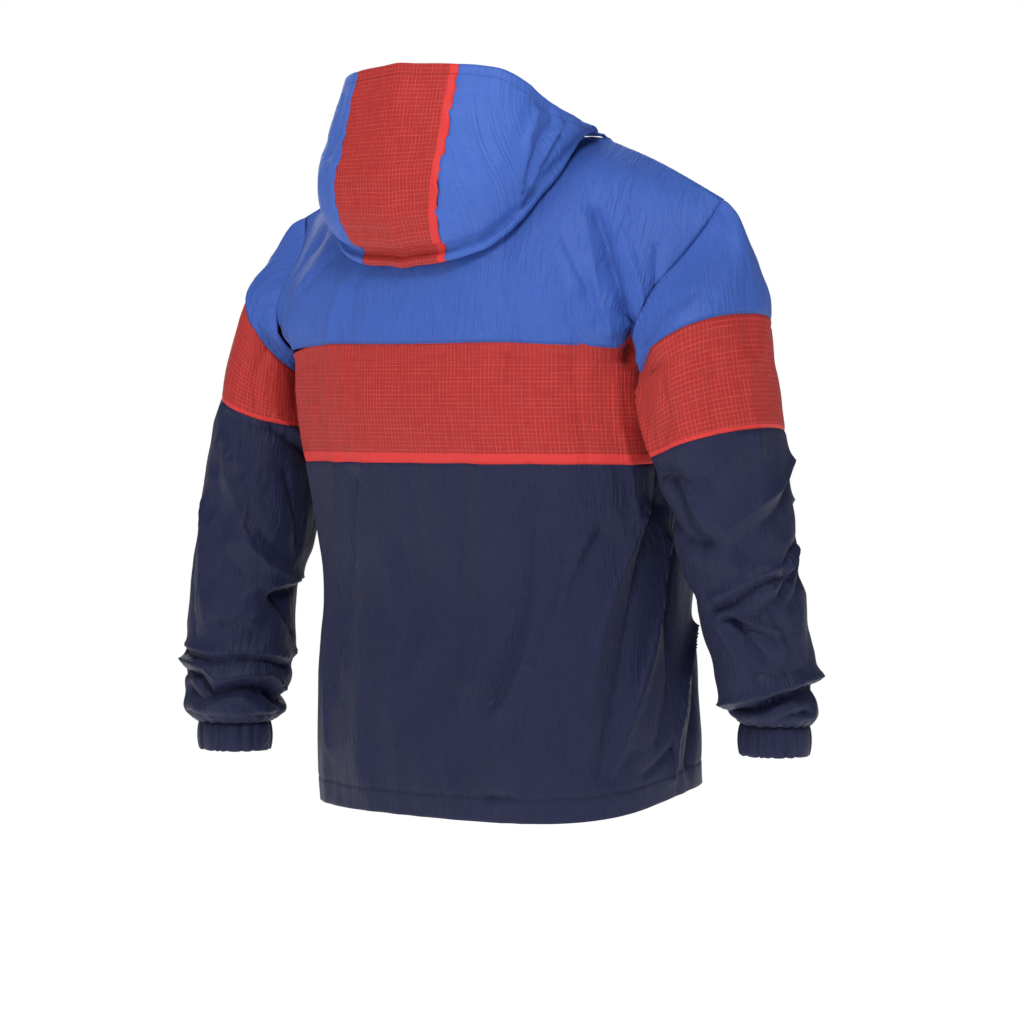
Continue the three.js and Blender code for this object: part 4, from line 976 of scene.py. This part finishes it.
def ramp(tree, value, low, high):
    """0 at low, 1 at high, eased."""
    made = node(tree, "ShaderNodeMapRange", interpolation_type="SMOOTHSTEP")
    tree.links.new(value, made.inputs["Value"])
    made.inputs["From Min"].default_value = low
    made.inputs["From Max"].default_value = high
    return made.outputs["Result"]


def scaled(tree, vector, scale):
    made = node(tree, "ShaderNodeVectorMath", operation="MULTIPLY")
    tree.links.new(vector, made.inputs[0])
    made.inputs[1].default_value = scale
    return made.outputs[0]


def noise_at(tree, vector, scale, detail=3.0, roughness=0.5):
    made = node(tree, "ShaderNodeTexNoise")
    made.inputs["Scale"].default_value = scale
    made.inputs["Detail"].default_value = detail
    made.inputs["Roughness"].default_value = roughness
    tree.links.new(vector, made.inputs["Vector"])
    return made.outputs["Fac"]


def weave_group():
    """Fine plain weave: a height, and a faint thread-to-thread change of shade."""
    group, entry, leave = new_group(
        "plain_weave",
        [("Cloth", "NodeSocketVector", None), ("Threads per metre", "NodeSocketFloat", 1500.0)],
        [("Height", "NodeSocketFloat"), ("Shade", "NodeSocketFloat")],
    )
    tree = group
    split = node(tree, "ShaderNodeSeparateXYZ")
    tree.links.new(entry.outputs["Cloth"], split.inputs[0])
    across = math_node(tree, "MULTIPLY", split.outputs["X"], entry.outputs["Threads per metre"])
    up = math_node(tree, "MULTIPLY", split.outputs["Y"], entry.outputs["Threads per metre"])
    warp = math_node(tree, "SINE", across)
    weft = math_node(tree, "SINE", up)
    over = math_node(tree, "MULTIPLY", warp, weft)
    tree.links.new(over, leave.inputs["Height"])
    streak = noise_at(tree, scaled(tree, entry.outputs["Cloth"], (1.0, 0.10, 1.0)), 900, 1, 0.5)
    pick = noise_at(tree, scaled(tree, entry.outputs["Cloth"], (0.10, 1.0, 1.0)), 900, 1, 0.5)
    tree.links.new(math_node(tree, "ADD", streak, pick), leave.inputs["Shade"])
    return group


def crinkle_group():
    """Light crinkles of thin nylon that run up the cloth."""
    group, entry, leave = new_group(
        "nylon_crinkle",
        [("Cloth", "NodeSocketVector", None), ("Crowding", "NodeSocketFloat", 1.0)],
        [("Height", "NodeSocketFloat"), ("Crest", "NodeSocketFloat")],
    )
    tree = group
    wander = node(tree, "ShaderNodeTexNoise")
    wander.inputs["Scale"].default_value = 14
    tree.links.new(entry.outputs["Cloth"], wander.inputs["Vector"])
    bent = node(tree, "ShaderNodeVectorMath", operation="MULTIPLY_ADD")
    tree.links.new(wander.outputs["Color"], bent.inputs[0])
    bent.inputs[1].default_value = (0.012, 0.02, 0.0)
    tree.links.new(entry.outputs["Cloth"], bent.inputs[2])
    crowded = node(tree, "ShaderNodeVectorMath", operation="SCALE")
    tree.links.new(bent.outputs[0], crowded.inputs[0])
    tree.links.new(entry.outputs["Crowding"], crowded.inputs["Scale"])
    long = noise_at(tree, scaled(tree, crowded.outputs[0], (1.0, 0.24, 1.0)), 64, 3, 0.5)
    small = noise_at(tree, scaled(tree, crowded.outputs[0], (1.0, 0.5, 1.0)), 210, 2, 0.5)
    fold = math_node(tree, "ABSOLUTE", math_node(tree, "SUBTRACT", long, 0.5))
    crest = ramp(tree, fold, 0.075, 0.0)
    tree.links.new(crest, leave.inputs["Crest"])
    drawn = noise_at(tree, scaled(tree, crowded.outputs[0], (1.0, 0.10, 1.0)), 125, 2, 0.55)
    line = ramp(tree, math_node(tree, "ABSOLUTE", math_node(tree, "SUBTRACT", drawn, 0.5)), 0.085, 0.0)
    patch = ramp(tree, noise_at(tree, entry.outputs["Cloth"], 20, 1, 0.5), 0.38, 0.62)
    lines = math_node(tree, "MULTIPLY", line, patch)
    height = math_node(tree, "MULTIPLY_ADD", small, 0.35, math_node(tree, "MULTIPLY_ADD", crest, 0.22, long))
    height = math_node(tree, "MULTIPLY_ADD", lines, 0.42, height)
    tree.links.new(height, leave.inputs["Height"])
    return group


def ripstop_group():
    """The ripstop grid: thicker threads at even steps both ways, uneven in strength."""
    group, entry, leave = new_group(
        "ripstop_grid",
        [("Cloth", "NodeSocketVector", None), ("Step", "NodeSocketFloat", 0.0056)],
        [("Grid", "NodeSocketFloat")],
    )
    tree = group
    split = node(tree, "ShaderNodeSeparateXYZ")
    tree.links.new(entry.outputs["Cloth"], split.inputs[0])
    lines = []
    for axis, stretch in (("X", (1.0, 0.10, 1.0)), ("Y", (0.10, 1.0, 1.0))):
        steps = math_node(tree, "DIVIDE", split.outputs[axis], entry.outputs["Step"])
        apart = math_node(tree, "PINGPONG", steps, 0.5)
        line = ramp(tree, apart, 0.13, 0.045)
        strength = noise_at(tree, scaled(tree, entry.outputs["Cloth"], stretch), 230, 2, 0.6)
        lines.append(math_node(tree, "MULTIPLY", line, ramp(tree, strength, 0.26, 0.62)))
    tree.links.new(math_node(tree, "MAXIMUM", lines[0], lines[1]), leave.inputs["Grid"])
    return group


def stitch_group():
    """A row of stitches at a set distance from an edge."""
    group, entry, leave = new_group(
        "stitch_row",
        [
            ("From edge", "NodeSocketFloat", 0.0),
            ("Along", "NodeSocketFloat", 0.0),
            ("Distance", "NodeSocketFloat", 0.004),
            ("Stitch", "NodeSocketFloat", 0.0028),
        ],
        [("Thread", "NodeSocketFloat"), ("Furrow", "NodeSocketFloat")],
    )
    tree = group
    away = math_node(tree, "ABSOLUTE", math_node(tree, "SUBTRACT", entry.outputs["From edge"], entry.outputs["Distance"]))
    row = ramp(tree, away, 0.00045, 0.0002)
    steps = math_node(tree, "DIVIDE", entry.outputs["Along"], entry.outputs["Stitch"])
    gap = math_node(tree, "PINGPONG", steps, 0.5)
    dash = ramp(tree, gap, 0.06, 0.14)
    tree.links.new(math_node(tree, "MULTIPLY", row, dash), leave.inputs["Thread"])
    tree.links.new(ramp(tree, away, 0.0016, 0.0), leave.inputs["Furrow"])
    return group


WEAVE = weave_group()
CRINKLE = crinkle_group()
RIPSTOP = ripstop_group()
STITCH = stitch_group()


def placed(tree, group, **values):
    made = tree.nodes.new("ShaderNodeGroup")
    made.node_tree = group
    for key, value in values.items():
        socket = made.inputs[key.replace("_", " ")]
        if isinstance(value, (int, float)):
            socket.default_value = value
        else:
            tree.links.new(value, socket)
    return made


def mix(tree, factor, first, second):
    made = node(tree, "ShaderNodeMix", data_type="RGBA", clamp_factor=True)
    if isinstance(factor, (int, float)):
        made.inputs[0].default_value = factor
    else:
        tree.links.new(factor, made.inputs[0])
    for k, value in ((6, first), (7, second)):
        if isinstance(value, tuple):
            made.inputs[k].default_value = (*value, 1)
        else:
            tree.links.new(value, made.inputs[k])
    return made.outputs[2]


def bump(tree, height, distance, strength, below=None):
    made = node(tree, "ShaderNodeBump")
    made.inputs["Distance"].default_value = distance
    made.inputs["Strength"].default_value = strength
    tree.links.new(height, made.inputs["Height"])
    if below is not None:
        tree.links.new(below, made.inputs["Normal"])
    return made.outputs["Normal"]


def new_material(name):
    material = bpy.data.materials.new(name)
    material.use_nodes = True
    tree = material.node_tree
    shader = tree.nodes["Principled BSDF"]
    return material, tree, shader


def uv_split(tree, name):
    """A UV map's vector and its two values."""
    made = node(tree, "ShaderNodeUVMap", uv_map=name)
    split = node(tree, "ShaderNodeSeparateXYZ")
    tree.links.new(made.outputs["UV"], split.inputs[0])
    return made.outputs["UV"], split.outputs["X"], split.outputs["Y"]


def nylon(name, colour, light, rows=(), grid=None, band=None, crinkle_strength=0.9):
    """Thin nylon: weave, crinkles and stitch rows; with the ripstop grid and plain band if given.

    rows holds (UV map, side, distance in millimetres) for each row of stitches."""
    material, tree, shader = new_material(name)
    shader.inputs["Roughness"].default_value = 0.5
    shader.inputs["Specular IOR Level"].default_value = 0.15
    shader.inputs["Sheen Weight"].default_value = 0.03
    shader.inputs["Sheen Roughness"].default_value = 0.45
    place, across, up = uv_split(tree, "cloth")
    ends = uv_split(tree, "ends")
    sides = uv_split(tree, "sides")
    weave = placed(tree, WEAVE, Cloth=place, Threads_per_metre=9000.0)
    folds = placed(tree, CRINKLE, Cloth=place, Crowding=1.0)
    shade = ramp(tree, weave.outputs["Shade"], 0.6, 1.4)
    tone = mix(tree, shade, colour, light)
    # Painted highlight: the crests of the crinkles are lightened towards a brighter copy of the light tone
    tone = mix(tree, math_node(tree, "MULTIPLY", folds.outputs["Crest"], 0.08), tone, tuple(min(1, c * 1.3) for c in light))
    height = folds.outputs["Height"]
    normal = bump(tree, weave.outputs["Height"], 0.00004, 0.5)
    normal = bump(tree, height, 0.0014, crinkle_strength, normal)
    if grid is not None:
        mesh = placed(tree, RIPSTOP, Cloth=place, Step=0.0043)
        cover = mesh.outputs["Grid"]
        if band is not None:
            source, index, inner, colour_band = band
            edge = {"ends": ends, "sides": sides}[source][1 + index]
            plain = ramp(tree, edge, inner + 0.0004, inner - 0.0004)
            cover = math_node(tree, "MULTIPLY", cover, math_node(tree, "SUBTRACT", 1, math_node(tree, "MULTIPLY", plain, 0.75)))
            tone = mix(tree, math_node(tree, "MULTIPLY", plain, 0.85), tone, colour_band)
            normal = bump(tree, plain, 0.0005, 0.5, normal)
        tone = mix(tree, math_node(tree, "MULTIPLY", cover, 0.78), tone, grid)
        normal = bump(tree, cover, 0.00015, 0.5, normal)
    for source, index, distance in rows:
        maps = {"ends": ends, "sides": sides}
        along = across if source == "ends" else up
        stitches = placed(tree, STITCH, From_edge=maps[source][1 + index], Along=along, Distance=distance * MM)
        furrow = stitches.outputs["Furrow"]
        # Painted shade: the cloth darkens towards about half its colour in the furrow along each stitch row
        tone = mix(tree, math_node(tree, "MULTIPLY", furrow, 0.30), tone, tuple(c * 0.45 for c in colour))
        tone = mix(tree, math_node(tree, "MULTIPLY", stitches.outputs["Thread"], 0.5), tone, light)
        dip = math_node(tree, "SUBTRACT", math_node(tree, "MULTIPLY", stitches.outputs["Thread"], 0.8), furrow)
        normal = bump(tree, dip, 0.0004, 0.7, normal)
    tree.links.new(tone, shader.inputs["Base Color"])
    tree.links.new(normal, shader.inputs["Normal"])
    rough = node(tree, "ShaderNodeMapRange")
    tree.links.new(weave.outputs["Shade"], rough.inputs["Value"])
    rough.inputs["From Min"].default_value = 0.6
    rough.inputs["From Max"].default_value = 1.4
    rough.inputs["To Min"].default_value = 0.46
    rough.inputs["To Max"].default_value = 0.58
    tree.links.new(rough.outputs["Result"], shader.inputs["Roughness"])
    return material


def tape_material():
    material, tree, shader = new_material("zip_tape_weave")
    shader.inputs["Sheen Weight"].default_value = 0.1
    place, across, up = uv_split(tree, "cloth")
    twill = node(tree, "ShaderNodeTexWave", wave_type="BANDS", bands_direction="DIAGONAL")
    twill.inputs["Scale"].default_value = 380
    twill.inputs["Distortion"].default_value = 0.4
    tree.links.new(place, twill.inputs["Vector"])
    tone = mix(tree, twill.outputs["Fac"], tuple(c * 0.75 for c in TAPE), tuple(c * 1.5 for c in TAPE))
    tree.links.new(tone, shader.inputs["Base Color"])
    tree.links.new(bump(tree, twill.outputs["Fac"], 0.0002, 0.6), shader.inputs["Normal"])
    shader.inputs["Roughness"].default_value = 0.75
    return material


def hard_material(name, colour, metallic, roughness, scale):
    """Moulded or coated: a faint uneven gloss and wear."""
    material, tree, shader = new_material(name)
    place = node(tree, "ShaderNodeTexCoord").outputs["Object"]
    blotch = noise_at(tree, place, scale, 4, 0.6)
    tone = mix(tree, blotch, tuple(c * 0.75 for c in colour), tuple(min(1, c * 1.5) for c in colour))
    tree.links.new(tone, shader.inputs["Base Color"])
    shader.inputs["Metallic"].default_value = metallic
    rough = node(tree, "ShaderNodeMapRange")
    tree.links.new(blotch, rough.inputs["Value"])
    rough.inputs["To Min"].default_value = roughness - 0.08
    rough.inputs["To Max"].default_value = roughness + 0.12
    tree.links.new(rough.outputs["Result"], shader.inputs["Roughness"])
    tree.links.new(bump(tree, blotch, 0.00005, 0.4), shader.inputs["Normal"])
    return material


MATERIALS = {
    "navy_hem": nylon("navy_nylon_hem", NAVY, NAVY_LIGHT, rows=[("ends", 0, 25), ("ends", 0, 23.2)]),
    "navy": nylon("navy_nylon", NAVY, NAVY_LIGHT, rows=[("ends", 1, 1.5)]),
    "blue": nylon("blue_nylon", BLUE, BLUE_LIGHT, rows=[("ends", 0, 1.5)]),
    # Painted light: the hood's blue cloth takes the lighter, lit copy of the blue
    "blue_hood": nylon("blue_nylon_hood_painted_lit", HOOD_BLUE_PAINTED_LIT, HOOD_BLUE_LIGHT_PAINTED_LIT, rows=[("ends", 1, 11)]),
    "red": nylon(
        "red_ripstop", RED, tuple(c * 1.12 for c in RED), rows=[("ends", 1, 1.5)], grid=RED_GRID,
        band=("ends", 0, 0.0098, RED_BAND), crinkle_strength=0.6,
    ),
    "red_sleeve": nylon(
        "red_ripstop_sleeve", RED, tuple(c * 1.12 for c in RED), rows=[("ends", 1, 1.5)], grid=RED_GRID,
        band=("ends", 0, 0.0032, RED_BAND), crinkle_strength=0.6,
    ),
    "red_hood": nylon(
        "red_ripstop_hood", RED, tuple(c * 1.12 for c in RED), rows=[("ends", 1, 11)], grid=RED_GRID,
        band=("sides", 0, 0.0085, RED_BAND), crinkle_strength=0.6,
    ),
    "tape": tape_material(),
    "teeth": hard_material("zip_coil_nylon", COIL, 0.0, 0.4, 900),
    "metal": hard_material("zip_dark_metal", METAL, 0.85, 0.36, 700),
}


def finish_for(panel):
    if panel.kind == "hood":
        return panel.cloth + "_hood"
    if panel.kind == "body" and panel.cloth == "navy":
        return "navy_hem"
    if panel.kind in TUBES and panel.cloth == "red":
        return "red_sleeve"
    return panel.cloth


for panel in PANELS:
    pieces[panel.node].data.materials.append(MATERIALS[finish_for(panel)])
for node_name in CUFFS:
    pieces[node_name].data.materials.append(MATERIALS["navy"])
for node_name in TAPES:
    pieces[node_name].data.materials.append(MATERIALS["tape"])
    pieces[node_name + "_teeth"].data.materials.append(MATERIALS["teeth"])
for node_name in ("zip_slider", "zip_pull_tab"):
    solid = frame["nodes"][node_name]
    solid.data.materials.clear()
    solid.data.materials.append(MATERIALS["metal"])


# Floor, light and camera

def floor():
    bpy.ops.object.select_all(action="DESELECT")
    bpy.ops.mesh.primitive_plane_add(size=40, location=(0, 0, FLOOR))
    plane = bpy.context.active_object
    plane.name = "floor"
    material, tree, shader = new_material("pale_floor")
    shader.inputs["Base Color"].default_value = (0.93, 0.93, 0.93, 1)
    shader.inputs["Roughness"].default_value = 0.9
    shader.inputs["Emission Color"].default_value = (1, 1, 1, 1)
    shader.inputs["Emission Strength"].default_value = 0.92
    plane.data.materials.append(material)


def lamp(name, place, aim, size, power):
    data = bpy.data.lights.new(name, "AREA")
    data.shape = "DISK"
    data.size = size
    data.energy = power
    light = bpy.data.objects.new(name, data)
    light.location = place
    light.rotation_euler = (Vector(aim) - Vector(place)).to_track_quat("-Z", "Y").to_euler()
    bpy.context.scene.collection.objects.link(light)


def world():
    """White to the camera, dimmer as a light."""
    made = bpy.data.worlds.new("studio")
    made.use_nodes = True
    tree = made.node_tree
    tree.nodes.clear()
    seen = node(tree, "ShaderNodeBackground")
    seen.inputs["Strength"].default_value = 1.0
    lit = node(tree, "ShaderNodeBackground")
    lit.inputs["Strength"].default_value = 0.10
    path = node(tree, "ShaderNodeLightPath")
    join = node(tree, "ShaderNodeMixShader")
    tree.links.new(path.outputs["Is Camera Ray"], join.inputs[0])
    tree.links.new(lit.outputs[0], join.inputs[1])
    tree.links.new(seen.outputs[0], join.inputs[2])
    leave = node(tree, "ShaderNodeOutputWorld")
    tree.links.new(join.outputs[0], leave.inputs[0])
    for background in (seen, lit):
        background.inputs["Color"].default_value = (1, 1, 1, 1)
    bpy.context.scene.world = made


def camera():
    turn, tilt = math.radians(180 + CAMERA_YAW), math.radians(CAMERA_PITCH)
    back = Vector((math.sin(turn) * math.cos(tilt), -math.cos(turn) * math.cos(tilt), math.sin(tilt)))
    side = Vector((0, 0, 1)).cross(back).normalized()
    aim = CAMERA_AIM + side * CAMERA_SIDE
    data = bpy.data.cameras.new("camera")
    data.lens = CAMERA_LENS
    data.sensor_width = 36
    eye = bpy.data.objects.new("camera", data)
    eye.location = aim + back * CAMERA_DISTANCE
    eye.rotation_euler = back.to_track_quat("Z", "Y").to_euler()
    bpy.context.scene.collection.objects.link(eye)
    bpy.context.scene.camera = eye
    return back, side


bpy.context.scene.view_settings.view_transform = "Standard"
floor()
world()
back, side = camera()
up = back.cross(side)
middle = Vector((0, 0, -0.35))
lamp("key", middle + back * 2.4 + side * 0.1 + up * 2.2, middle, 1.0, 56)
lamp("fill", middle + back * 2.2 - side * 2.0 + up * 0.8, middle, 1.8, 16)
lamp("right", middle + back * 1.8 + side * 2.2 - up * 0.2, middle, 1.4, 9)
lamp("front_key", middle - back * 2.8 - side * 0.4 + up * 1.0, middle, 2.2, 30)
lamp("top", middle + up * 2.4 + back * 0.9 - side * 0.9, middle, 1.6, 22)
